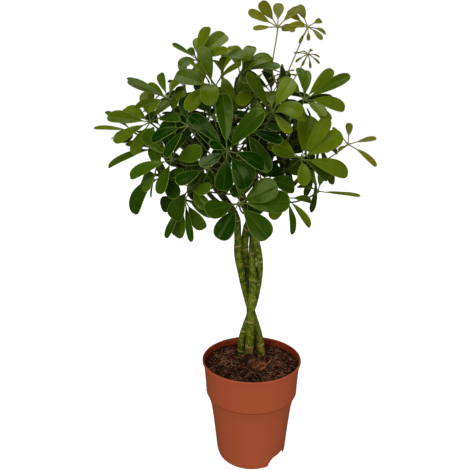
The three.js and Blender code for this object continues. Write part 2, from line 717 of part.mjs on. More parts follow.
// A leaf's frame and sizes from its row. "up" leaves its upper side, and "across" is level.
function leafFrom(row) {
  const [x, y, z, azimuth, elevation, kind, leaflets] = row;
  const young = kind === "young";
  const listed = Array.isArray(leaflets[0]);
  const wishes = listed ? leaflets : evenLeaflets(...leaflets);
  const longest = Math.max(...wishes.map((wish) => wish[3]));
  const turn = radians(azimuth);
  const up = facing(azimuth, elevation);
  const across = vec(Math.cos(turn), Math.sin(turn), 0);
  let stalk = STALK;
  if (young) stalk = longest > TINY_LENGTH ? YOUNG_STALK : TINY_STALK;
  return {
    kind,
    hub: vec(x, y, z),
    up,
    across,
    along: up.clone().cross(across),
    hubRadius: HUB_RADIUS[kind],
    stalk,
    petioleLength: young ? YOUNG_PETIOLE : PETIOLE_LENGTH,
    wishes,
    spares: listed && !young && wellInside(x, z) ? spareLeaflets(leaflets) : [],
    looseness: listed ? LISTED_LOOSENESS : 1,
    leaflets: [],
  };
}

// The petiole's curve from a seat on a stem to the hub, as evenly spaced points. It leaves square to the
// stem and leaning a little up it, and comes in between the hub's own line and the straight one.
function petioleFrom(seat, leaf) {
  const span = leaf.hub.clone().sub(seat.middle);
  const distance = span.length();
  const out = reach(span, [seat.along, -span.dot(seat.along)]).normalize();
  const start = reach(seat.middle, [out, seat.radius + SEAT_GAP]);
  const leaving = reach(out, [seat.along, PETIOLE_LEAN]).normalize();
  const arriving = reach(leaf.up, [span, 1 / distance]).normalize();
  const curve = new THREE.CubicBezierCurve3(
    start,
    reach(start, [leaving, PETIOLE_PULLS[0] * distance]),
    reach(leaf.hub, [arriving, -PETIOLE_PULLS[1] * distance]),
    reach(leaf.hub, [leaf.up, -PETIOLE_INSET]),
  );
  return { out, points: curve.getPoints(PETIOLE_SPANS) };
}

// Points close together on the straight lines between given points.
function finelySpaced(points) {
  return points.slice(1).flatMap((point, i) =>
    spaced(0, 1, PETIOLE_SAMPLES + 1).map((share) => points[i].clone().lerp(point, share)),
  );
}

// Places on the stems where a petiole can start, above the braid and clear of the tips and forks: a few
// on each straight piece of the path.
function seatsOn(lines) {
  const seats = [];
  const forks = lines.map(({ path }) => path[0]);
  for (const { path, radii } of lines) {
    for (let i = 0; i < path.length - 1; i += 1) {
      const along = path[i + 1].clone().sub(path[i]).normalize();
      for (const share of SEAT_SHARES) {
        const middle = path[i].clone().lerp(path[i + 1], share);
        const radius = radii[i] + (radii[i + 1] - radii[i]) * share;
        if (middle.z < LOWEST_SEAT) continue;
        if (forks.some((fork) => fork.distanceTo(middle) < FORK_ROOM)) continue;
        seats.push({ middle, along, radius, used: false });
      }
    }
  }
  return seats;
}

// How badly a seat suits a leaf: a petiole of the wrong length, a seat that isn't well below the hub,
// and one that the leaf would turn its upper side to all count against it.
function seatCost(seat, leaf) {
  const span = leaf.hub.clone().sub(seat.middle);
  const drop = Math.max(0, seat.middle.z - leaf.hub.z + SEAT_DROP);
  const behind = span.dot(leaf.up) < 0 ? BEHIND_COST : 0;
  return Math.abs(span.length() - leaf.petioleLength) + DROP_COST * drop + behind;
}

// Gives the leaf the best seat whose petiole is clear, with its hub moved a little along its axis if
// need be.
function seatLeaf(leaf, seats, mark) {
  const home = leaf.hub.clone();
  for (const shift of HUB_SHIFTS) {
    leaf.hub = reach(home, [leaf.up, shift]);
    const order = seats
      .filter((seat) => !seat.used)
      .map((seat) => [seatCost(seat, leaf), seat])
      .sort((a, b) => a[0] - b[0]);
    for (const [, seat] of order) {
      const rim = ring(leaf.hub, leaf.across, leaf.along, leaf.hubRadius, RIM_SIDES);
      const line = finelySpaced(petioleFrom(seat, leaf).points);
      const foot = line.slice(0, PETIOLE_SAMPLES / 2);
      if (!room.free(foot, STEM_MARK, seat.middle)) continue;
      if (!room.free([...line.slice(foot.length), ...rim], mark, leaf.hub)) continue;
      room.take([...line, ...rim], mark);
      seat.used = true;
      leaf.seat = seat;
      return true;
    }
  }
  return false;
}

// Places on a leaflet's middle line. It is a straight stalk at the pitch angle and then an arc that
// bends by the bend angle over the blade's length. At each share of the length it gives the point and
// the directions to the side and up.
function leafletLine(leaf, leaflet, share) {
  const { turn, pitch, bend, roll, length } = leaflet;
  const out = reach(vec(0, 0, 0), [leaf.across, Math.cos(turn)], [leaf.along, Math.sin(turn)]);
  const side = reach(vec(0, 0, 0), [leaf.across, -Math.sin(turn)], [leaf.along, Math.cos(turn)]);
  const slope = pitch - bend * share;
  const distance = leaf.stalk * Math.cos(pitch) + (length / bend) * (Math.sin(pitch) - Math.sin(slope));
  const height = leaf.stalk * Math.sin(pitch) + (length / bend) * (Math.cos(slope) - Math.cos(pitch));
  const normal = reach(vec(0, 0, 0), [out, -Math.sin(slope)], [leaf.up, Math.cos(slope)]);
  return {
    point: reach(leaf.hub, [out, leaf.hubRadius + distance], [leaf.up, height]),
    side: reach(vec(0, 0, 0), [side, Math.cos(roll)], [normal, Math.sin(roll)]),
    up: reach(vec(0, 0, 0), [normal, Math.cos(roll)], [side, -Math.sin(roll)]),
  };
}

// Half the blade's width at a share of its length.
function halfWidth(leaflet, share) {
  return (leaflet.width / 2) * between(share, OUTLINE_AT, OUTLINE_WIDTH);
}

// Points all over a leaflet, whose halves rise from the midrib by the fold angle, and along its stalk.
function leafletPoints(leaf, leaflet) {
  const [rows, columns] = BLADE_SAMPLES;
  const fold = radians(FOLD);
  const points = [];
  for (const share of spaced(0, 1, rows)) {
    const { point, side, up } = leafletLine(leaf, leaflet, share);
    const half = halfWidth(leaflet, share);
    for (const across of spaced(-1, 1, columns)) {
      const lift = half * Math.sin(fold) * (Math.abs(across) - 0.5);
      points.push(reach(point, [side, half * across * Math.cos(fold)], [up, lift]));
    }
  }
  const stalkEnd = leafletLine(leaf, leaflet, 0).point;
  const stalkStart = reach(stalkEnd, [stalkEnd.clone().sub(leaf.hub).normalize(), -leaf.stalk]);
  for (const share of [0, 0.25, 0.5, 0.75]) points.push(stalkStart.clone().lerp(stalkEnd, share));
  return points;
}

// The changes to pitch, turn, bend and size that a leaflet tries, as one list.
function variants() {
  const pairs = ({ steps, pitches }) => steps.flatMap((step) => pitches.map((pitch) => [pitch, step]));
  return [
    ...PITCH_TRIES.map((pitch) => [pitch, 0, 0, 1]),
    ...pairs(TURN_TRIES).map(([pitch, turn]) => [pitch, turn, 0, 1]),
    ...pairs(BEND_TRIES).map(([pitch, bend]) => [pitch, 0, bend, 1]),
    ...pairs(SIZE_TRIES).map(([pitch, size]) => [pitch, 0, 0, size]),
  ];
}

// Draws each leaflet's own pitch, bend, roll and size, then lays it down in the first variant that is
// clear. One that is clear in none has no room to grow and is left out.
function growLeaflets(leaf, wishes, mark) {
  for (const [direction, rise, arched, wishedLength, wishedWidth] of wishes) {
    const turned = direction + draw.spread(SPREAD.turn * leaf.looseness);
    const pitched = rise + draw.spread(SPREAD.pitch * leaf.looseness);
    const bent = arched + draw.spread(SPREAD.bend * leaf.looseness);
    const rolled = draw.spread(SPREAD.roll);
    const length = wishedLength * (1 + draw.spread(SPREAD.length * leaf.looseness));
    const width = length * wishedWidth * (1 + draw.spread(SPREAD.width));
    for (const [pitch, turn, bend, size] of variants()) {
      const arc = Math.abs(bent + bend) < LEAST_BEND ? LEAST_BEND : bent + bend;
      const leaflet = {
        turn: radians(turned + turn),
        pitch: radians(pitched + pitch),
        bend: radians(arc),
        roll: radians(rolled),
        length: length * size,
        width: width * size,
      };
      const points = leafletPoints(leaf, leaflet);
      if (!room.free(points, mark, leaf.hub)) continue;
      room.take(points, mark);
      leaf.leaflets.push(leaflet);
      break;
    }
  }
}

// All leaves: first every petiole takes its room, in order, and then every leaflet.
function crown(lines) {
  room.clear();
  for (const line of lines) room.take(skinPoints(line), STEM_MARK);
  const seats = seatsOn(lines);
  const front = FRONT_LEAVES.map(leafFrom);
  const back = backLeaves().map((row) => ({ ...leafFrom(row), plain: true }));
  const leaves = [...front, ...back];
  const seated = leaves.filter((leaf, i) => seatLeaf(leaf, seats, i + 1));
  seated.forEach((leaf) => growLeaflets(leaf, leaf.wishes, leaves.indexOf(leaf) + 1));
  seated.forEach((leaf) => growLeaflets(leaf, leaf.spares, leaves.indexOf(leaf) + 1));
  return seated.filter((leaf) => leaf.leaflets.length >= FEWEST_LEAFLETS).slice(0, MOST_LEAVES);
}

// The corners of the hub, counter-clockwise seen from above, and for each side the leaflet that grows
// from it. Neighbours share the corner halfway between them, unless they are far apart.
function hubCorners(leaflets) {
  const widest = radians(HUB_SIDE_HALF);
  const full = 2 * Math.PI;
  const around = leaflets
    .map((leaflet) => ({ leaflet, turn: ((leaflet.turn % full) + full) % full }))
    .sort((a, b) => a.turn - b.turn);
  const corners = [];
  around.forEach(({ leaflet, turn }, i) => {
    const before = around.at(i - 1).turn - (i === 0 ? full : 0);
    const after = around[(i + 1) % around.length].turn + (i === around.length - 1 ? full : 0);
    corners.push({ turn: Math.max((before + turn) / 2, turn - widest), leaflet });
    if (after - turn > 2 * widest) corners.push({ turn: turn + widest, leaflet: null });
  });
  return corners;
}

// One leaf as one closed surface: a flat many-sided hub, a leaflet from each side of it, and a petiole
// with four sides below. A leaflet is a thin blade of box sections, its two faces split into triangles
// alike.
function leafSurface(leaf) {
  const points = [];
  const triangles = [];
  const add = (point) => points.push(point) - 1;
  const corners = hubCorners(leaf.leaflets);
  const count = corners.length;
  const rim = (height) =>
    corners.map(({ turn }) => {
      const [x, y] = [leaf.hubRadius * Math.cos(turn), leaf.hubRadius * Math.sin(turn)];
      return add(reach(leaf.hub, [leaf.across, x], [leaf.along, y], [leaf.up, height]));
    });
  const top = rim(HUB_HALF);
  const bottom = rim(-HUB_HALF);
  for (let i = 1; i < count - 1; i += 1) triangles.push([top[0], top[i], top[i + 1]]);
  corners.forEach(({ leaflet }, i) => {
    const next = (i + 1) % count;
    if (leaflet) {
      growBlade(leaf, leaflet, [top[i], top[next], bottom[next], bottom[i]], add, triangles);
    } else {
      triangles.push([top[i], bottom[i], bottom[next]], [top[i], bottom[next], top[next]]);
    }
  });
  growPetiole(leaf, corners, bottom, add, triangles);
  return surface(points, triangles);
}

// Adds a leaflet to a leaf's surface, from the four corners of its side of the hub out to its blunt tip.
// Each section has its corners in the order low side above, high side above, high side below, low side
// below.
function growBlade(leaf, leaflet, root, add, triangles) {
  const shares = leaf.plain || leaflet.length < SHORT_LEAFLET ? FEW_SECTIONS : SECTIONS;
  let inner = root;
  for (const share of shares) {
    const { point, side, up } = leafletLine(leaf, leaflet, share);
    const half = halfWidth(leaflet, share);
    const outer = [
      add(reach(point, [side, -half], [up, BLADE / 2])),
      add(reach(point, [side, half], [up, BLADE / 2])),
      add(reach(point, [side, half], [up, -BLADE / 2])),
      add(reach(point, [side, -half], [up, -BLADE / 2])),
    ];
    for (const i of [0, 1, 3]) {
      const j = (i + 1) % 4;
      triangles.push([inner[i], outer[i], outer[j]], [inner[i], outer[j], inner[j]]);
    }
    triangles.push([inner[2], outer[2], inner[3]], [outer[2], outer[3], inner[3]]);
    inner = outer;
  }
  triangles.push([inner[0], inner[3], inner[2]], [inner[0], inner[2], inner[1]]);
}

// Adds the petiole: a fan of triangles narrows the hub's underside to four sides, which run down to the
// stem and end flat beside it.
function growPetiole(leaf, corners, bottom, add, triangles) {
  const { out, points } = petioleFrom(leaf.seat, leaf);
  const collar = reach(points[PETIOLE_SPANS], [leaf.up, -COLLAR_DROP]);
  const path = [collar, ...points.slice(0, PETIOLE_SPANS).reverse()];
  let across = leaf.across;
  let above = null;
  path.forEach((middle, i) => {
    const last = i === path.length - 1;
    const after = path[Math.min(i + 1, path.length - 1)];
    let along = path[Math.max(i - 1, 0)].clone().sub(after).normalize();
    if (i === 0) along = leaf.up;
    if (last) along = out;
    across = reach(across, [along, -across.dot(along)]).normalize();
    const side = along.clone().cross(across);
    const ids = ring(middle, across, side, PETIOLE_RADII[leaf.kind], 4).map(add);
    if (i === 0) {
      joinRings(corners, bottom, ids, triangles);
    } else {
      for (let k = 0; k < 4; k += 1) {
        const next = (k + 1) % 4;
        triangles.push([above[k], ids[k], ids[next]], [above[k], ids[next], above[next]]);
      }
    }
    if (last) triangles.push([ids[0], ids[2], ids[1]], [ids[0], ids[3], ids[2]]);
    above = ids;
  });
}

// Joins the hub's lower rim to the four-sided ring below it, moving on along whichever is behind.
function joinRings(corners, bottom, ids, triangles) {
  const full = 2 * Math.PI;
  const count = corners.length;
  const rimTurn = (i) => corners[i % count].turn + full * Math.floor(i / count);
  const start = Math.round(corners[0].turn / (full / 4));
  const ringTurn = (k) => ((start + k) * full) / 4;
  const ringId = (k) => ids[(((start + k) % 4) + 4) % 4];
  let i = 0;
  let k = 0;
  while (i < count || k < 4) {
    const rimNext = i < count && (k === 4 || rimTurn(i + 1) <= ringTurn(k + 1));
    if (rimNext) {
      triangles.push([bottom[i % count], ringId(k), bottom[(i + 1) % count]]);
      i += 1;
    } else {
      triangles.push([bottom[i % count], ringId(k), ringId(k + 1)]);
      k += 1;
    }
  }
}

// Colours

const finish = (color, roughness) => new THREE.MeshStandardMaterial({ color, roughness, metalness: 0 });
const FINISHES = {
  pot: finish(0x9d4b2d, 0.55),
  soil: finish(0x3a241a, 0.95),
  stem: finish(0x6f7a2e, 0.7),
  dark: finish(0x2f5a22, 0.35),
  light: finish(0x5d7f2c, 0.4),
  young: finish(0x8a9440, 0.5),
};

// The whole plant

const plant = new THREE.Group();

function addMesh(name, geometry, material) {
  const mesh = new THREE.Mesh(geometry, material);
  mesh.name = name;
  plant.add(mesh);
}

const lines = growth();
addMesh("pot", pot(), FINISHES.pot);
addMesh("soil", soil(lines.slice(0, Object.keys(STEMS).length)), FINISHES.soil);
for (const name of Object.keys(STEMS)) {
  addMesh(`stem_${name}`, stemSolid(name, lines), FINISHES.stem);
}
crown(lines).forEach((leaf, i) => {
  const number = String(i + 1).padStart(2, "0");
  const name = leaf.kind === "young" ? `young_leaf_${number}` : `leaf_${number}`;
  addMesh(name, leafSurface(leaf), FINISHES[leaf.kind]);
});

export default plant;
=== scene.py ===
import math

import bpy
import numpy as np
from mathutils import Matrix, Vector


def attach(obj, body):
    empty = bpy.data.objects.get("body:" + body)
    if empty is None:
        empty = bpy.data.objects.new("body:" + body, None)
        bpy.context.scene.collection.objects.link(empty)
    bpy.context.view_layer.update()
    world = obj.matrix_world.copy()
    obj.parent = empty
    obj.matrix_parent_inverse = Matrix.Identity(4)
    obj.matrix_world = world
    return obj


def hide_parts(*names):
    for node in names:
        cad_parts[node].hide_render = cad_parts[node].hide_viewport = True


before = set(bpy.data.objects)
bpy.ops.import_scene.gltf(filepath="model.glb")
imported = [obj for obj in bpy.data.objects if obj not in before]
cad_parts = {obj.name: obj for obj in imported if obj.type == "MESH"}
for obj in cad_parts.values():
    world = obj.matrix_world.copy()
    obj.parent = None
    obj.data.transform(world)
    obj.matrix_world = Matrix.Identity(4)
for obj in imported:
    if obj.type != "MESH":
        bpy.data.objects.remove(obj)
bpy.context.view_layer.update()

MM = 0.001
FULL = 2 * math.pi

# Pot. The outline's corners are radius, height and how far the corner is rounded.
CHANNEL_RADIUS = 26
CHANNEL_HEIGHT = 14
FOOT_INNER_RADIUS = 56.4
FOOT_MARGIN = 0.7  # how far in from the foot's inner side an arch still lifts it
SIDE_MARGIN = 0.1  # how far out from its inner side the foot is lifted only up to the channel
CHANNEL_MARGIN = 0.5  # how far below the channel that ends
WALL = 2
POT_HEIGHT = 177
RIM_RADIUS = 85
RIM_DEPTH = 4
POT_OUTSIDE = [
    (0, 0, 0),
    (CHANNEL_RADIUS, 0, 1.2),
    (CHANNEL_RADIUS, CHANNEL_HEIGHT, 1),
    (FOOT_INNER_RADIUS, CHANNEL_HEIGHT, 1),
    (FOOT_INNER_RADIUS, 0, 0.6),
    (58.6, 0, 1.4),
    (60.5, 6, 5),
    (67, 69, 20),
    (71, 98, 9),
    (76.9, 117, 1.4),
    (78.7, 118.2, 0.5),
    (79.7, 139, 20),
    (82.8, POT_HEIGHT - RIM_DEPTH, 0.8),
    (RIM_RADIUS, POT_HEIGHT - RIM_DEPTH, 1.1),
    (RIM_RADIUS, POT_HEIGHT, 1.5),
]
BAND_SHADOW_HEIGHT = 0.1166  # the height of the painted shadow line under the band's edge, in metres
POT_INSIDE = [
    (RIM_RADIUS - 2.4, POT_HEIGHT, 0.9),
    (80.8, 170, 3),
    (77.4, 139, 20),
    (75, 117, 3),
    (69, 98, 3),
    (58.9, CHANNEL_HEIGHT + WALL, 2),
    (CHANNEL_RADIUS - WALL, CHANNEL_HEIGHT + WALL, 1),
    (CHANNEL_RADIUS - WALL, WALL, 1),
    (0, WALL, 0),
]
ROUNDING_STEPS = 5
MOST_ROUNDING = 0.45  # the share of a side that a corner's rounding takes at most
POT_COLUMNS = 200
ARCH_COLUMNS = 44
ARCH_WIDTH = 48
ARCH_TOP_WIDTH = 22
ARCH_HEIGHT = 12.6
ARCH_FULLNESS = 0.7  # the power that makes an arch's sides bulge
ARCH_SPREAD = 0.55  # the share of an arch's width, to each side, that has closer columns
ARCH_AZIMUTHS = [52, 232]
ARCH_REACH = 30  # the foot is lifted up to this height above an arch
DRAIN_RADIUS = 4.5
DRAIN_CIRCLE = 41
DRAIN_COUNT = 6
DRAIN_SIDES = 28
DRAIN_OVERCUT = 3
SHARP = {"pot": 35, "chips": 40}  # the angle between faces from which an edge shows as sharp

# Soil
SOIL_EDGE = 165
SOIL_MOUND = 169
SOIL_RADIUS = 79.9
SOIL_INSET = 2  # how much less than its radius the mound's curve is wide
SOIL_FIRST_ROW = 0.004
SOIL_ROW_POWER = 0.8  # this brings the soil's rings closer together towards the wall
SOIL_ROWS = 84
SOIL_COLUMNS = 260
SOIL_FLOOR = CHANNEL_HEIGHT + WALL + 0.6
SOIL_WALLS = [(77.2, 139), (74.6, 117), (68.4, 98), (58.4, SOIL_FLOOR), (2, SOIL_FLOOR)]
SOIL_RISE = 2.2
SOIL_RISE_SPAN = [45, 8]  # how far in from the wall the rise starts and ends
SOIL_SINK = 0.8
# Heaps and dips at the stems' feet, and a heap over a ball of roots: x, y, radius and height
HEAPS = [(-5, 11, 15, 8.5), (13, -10, 18, 5), (-21, 25, 15, -3.4), (21, 31, 15, -3.4)]
HEAP_TOP = 0.3  # the share of its radius over which a heap is flat
ROOT_BALL = (0.013, -0.01, 0.172)  # the middle of the ball of roots, in metres
LUMP_HEIGHT = 1.6
LUMP_WAVES = [6, 7, 9]
LUMP_SWAY = 0.4
LUMP_PHASE = 1
CRUMB_WAVES = 70
CRUMB_WAVE_LENGTHS = (3, 26)
CRUMB_WAVE_HEIGHT = 3.2
CRUMBS = 420
CRUMB_FADE = 4  # how far from the wall the crumbs start to fade
CRUMB_FULLNESS = 0.7  # the power that makes a crumb's sides bulge
CRUMB_RADII = (1.2, 4.2)
CRUMB_HEIGHTS = (0.3, 1)  # as shares of the tallest crumb of that radius
TALLEST_CRUMB = 0.55  # as a share of its radius
FIBRES = 470
FIBRE_POINTS = 7
FIBRE_SIDES = 5
FIBRE_LENGTHS = (3, 14)
FIBRE_EXTRA = 14  # how much longer the few longest ones are
FIBRE_CURL = 0.07  # how far a fibre turns in each millimetre at most, in radians
FIBRE_LIFTS = (0.2, 2)
FIBRE_RADII = (0.14, 0.36)
FIBRE_SHADES = (-0.1, 1.1)
FIBRE_STAND = 0.3
FIBRE_END = 0.25  # in radians of the half wave that a fibre's thickness follows
DULL_FIBRES = 0.8  # the share of the fibres that aren't the palest ones
PALEST = 1.2
CHIPS = 260
CHIP_SIDES = 9
CHIP_SIZES = ((0.8, 3.4), (0.6, 1.7), (0.3, 0.9))  # half length, half width and half thickness
CHIP_UNEVENNESS = 0.28
CHIP_TILTS = (0.5, 0.4)  # how steeply a chip lies at most, along it and across
CHIP_DULLNESS = 0.15
# A chip's loops from its underside up: height as a share of half its thickness, and size of the outline
CHIP_LOOPS = [(-1, 0.7), (-0.5, 1), (0.6, 0.96), (1, 0.72)]
CHIP_RISE = 0.4  # how far its middle stands above the soil, as a share of half its thickness
# How far the middles of fibres and chips stay from the wall, and every point of a fibre
FIBRE_MARGIN = 6
CHIP_MARGIN = 7
WALL_MARGIN = 1.5
# Chips that show well: half length, half width and half thickness, place, shade and heading
LISTED_CHIPS = [
    [(9, 1.5, 1.1), (30, -4), 1.0, 62],
    [(5, 1.3, 1), (24, -17), 0.7, 20],
    [(4.5, 1.6, 1.2), (15, -12), 0.8, 100],
    [(4, 1.4, 1.2), (10, -20), 0.6, 130],
    [(4.4, 1.4, 1), (19, -24), 0.7, 10],
    [(3, 1.2, 1.1), (20, -13), 0.9, 40],
    [(3.4, 1.6, 1), (13, -26), 0.5, 160],
    [(6, 2, 1.4), (-26, 20), 0.8, 95],
    [(4, 1, 0.8), (-52, 4), 0.8, 30],
    [(3, 1.2, 0.8), (-44, -6), 0.9, 140],
    [(3.6, 0.9, 0.8), (50, -30), 0.8, 80],
]

# Stems: points on each stem's middle and its radius at the two ends, as in the part's source.
# Scars are heights. A shoot starts at a numbered point of its stem.
STEM_ROOT = 140
SHOOT_RADII = [4.2, 3]
STEMS = {
    "a": {
        "radii": [7.6, 5],
        "scars": [183, 221, 263, 303, 340, 372, 418, 462, 505, 540],
        "points": [
            [18, 38, STEM_ROOT], [18, 38, 166], [14, 40, 200], [0.5, 46, 245],
            [-9, 42, 280], [-18.5, 30, 325], [-24, 22, 358], [-24, 16, 390],
            [-28, 12, 425], [-56, 2, 470], [-76, -14, 520], [-86, -24, 560],
        ],
    },
    "b": {
        "radii": [7.2, 6.2],
        "scars": [190, 226, 262, 294, 330, 364, 400, 446, 488, 532],
        "points": [
            [4, 54, STEM_ROOT], [4, 54, 166], [1, 57, 200], [-1, 60.5, 245],
            [-5, 56.5, 280], [-8.5, 47, 322], [-12, 36, 358], [-11, 30, 385],
            [-3, 22, 415], [28, 6, 460], [48, -18, 510], [60, -36, 560],
        ],
    },
    "c": {
        "radii": [8, 4.6],
        "scars": [191, 236, 276, 311, 352, 392, 436, 478, 520, 566],
        "points": [
            [-4.5, 22.5, STEM_ROOT], [-4.5, 22.5, 166], [-2.5, 19.5, 200], [-1.5, 16.5, 245],
            [1.5, 20, 280], [2, 22.5, 320], [1, 35.5, 355], [2.5, 46.5, 388],
            [4, 62, 420], [8, 84, 470], [4, 100, 530], [-2, 104, 590],
        ],
    },
    "d": {
        "radii": [7.2, 4.4],
        "scars": [176, 212, 262, 300, 343, 381, 430, 476, 530, 590],
        "points": [
            [-17, 31.5, STEM_ROOT], [-17, 31.5, 166], [-15.5, 29.5, 200], [-1.5, 32, 245],
            [8.5, 35, 280], [14, 31, 322], [11.5, 22.5, 358], [2.5, 13, 395],
            [-8, 2, 425], [-22, -8, 480], [-30, -6, 550], [-26, 4, 640],
        ],
    },
}
SHOOTS = [
    ["a", 8, [[-70, 34, 455], [-100, 52, 500], [-112, 60, 545]]],
    ["b", 8, [[36, 30, 448], [78, 38, 482], [100, 38, 535]]],
    ["c", 8, [[36, 92, 450], [66, 112, 500], [74, 112, 550]]],
    ["c", 8, [[-30, 92, 455], [-58, 108, 505], [-66, 104, 560]]],
    ["d", 8, [[-14, -44, 455], [-22, -76, 495], [-26, -88, 535]]],
    ["d", 10, [[18, 14, 584], [44, 20, 634]]],
]
STEPS_PER_SPAN = 2  # in the part's solids, whose straight pieces carry the petioles
FINE_STEPS = 22
STEM_COLUMNS = 28
SHOOT_COLUMNS = 18
SHOOT_SCARS = range(440, 620, 26)
SCAR_RIDGE = 0.55
SCAR_WIDTH = 1.1
SCAR_WIDENING = 0.7  # how much wider a scar is where its leaf sat
SCAR_DIP = 1.6
SCAR_TURN = 2.4  # how far round the stem one scar's dip is from the last one's, in radians
# Ripples of a stem: height as a share of its radius, and the lengths of their waves up the stem
SHORT_RIPPLE = (0.012, 5.3, 17)
LONG_RIPPLE = (0.02, 23)
TIP_STEPS = 8
TIP_TAPER = 0.92

# Leaves: the numbers of the part's source, which the layout below repeats step by step
HUB_RADIUS = {"dark": 3, "light": 3, "young": 2.2}
STALK = 8
YOUNG_STALK = 12
TINY_STALK = 7
TINY_LENGTH = 20
PETIOLE_LENGTH = 80
YOUNG_PETIOLE = 85
PETIOLE_RADII = {"dark": 1.3, "light": 1.3, "young": 1}
PETIOLE_LEAN = 0.35
PETIOLE_PULLS = [0.3, 0.32]
PETIOLE_INSET = 1.2
PETIOLE_SPANS = 4
PETIOLE_SAMPLES = 8
SEAT_GAP = 0.4
LOWEST_SEAT = 395
FORK_ROOM = 10
SEAT_SHARES = [0.2, 0.5, 0.8]
SEAT_DROP = 15
DROP_COST = 0.9
BEHIND_COST = 60
HUB_SHIFTS = [0, 8, -8, 16, -16, 24, -24]
OUTLINE_AT = [0, 0.12, 0.3, 0.5, 0.7, 0.88, 1]
OUTLINE_WIDTH = [0.07, 0.36, 0.72, 0.95, 1, 0.78, 0.38]
FOLD = 6
LEAST_BEND = 1
SPREAD = {"turn": 5, "pitch": 7, "bend": 12, "roll": 14, "length": 0.06, "width": 0.1}
FULL_LEAF = 8
LEAST_GAP = 50
SPARE_LEAFLET = [-12, 45, 45.5, 0.54]
INNER_REACH = 0.85
SPARE_FROM = 465
LISTED_LOOSENESS = 0.2
SIDE_LENGTH = 0.88
PITCH_TRIES = [0, 8, -8, 16, -16, 26, -26]
TURN_TRIES = ([8, -8], [0, 12, -12, 24, -24])
BEND_TRIES = ([30, -30], [0, 15, -15, 30])
SIZE_TRIES = ([0.85, 0.7, 0.55], [0, 12, -12, 24, -24, 38, -38])
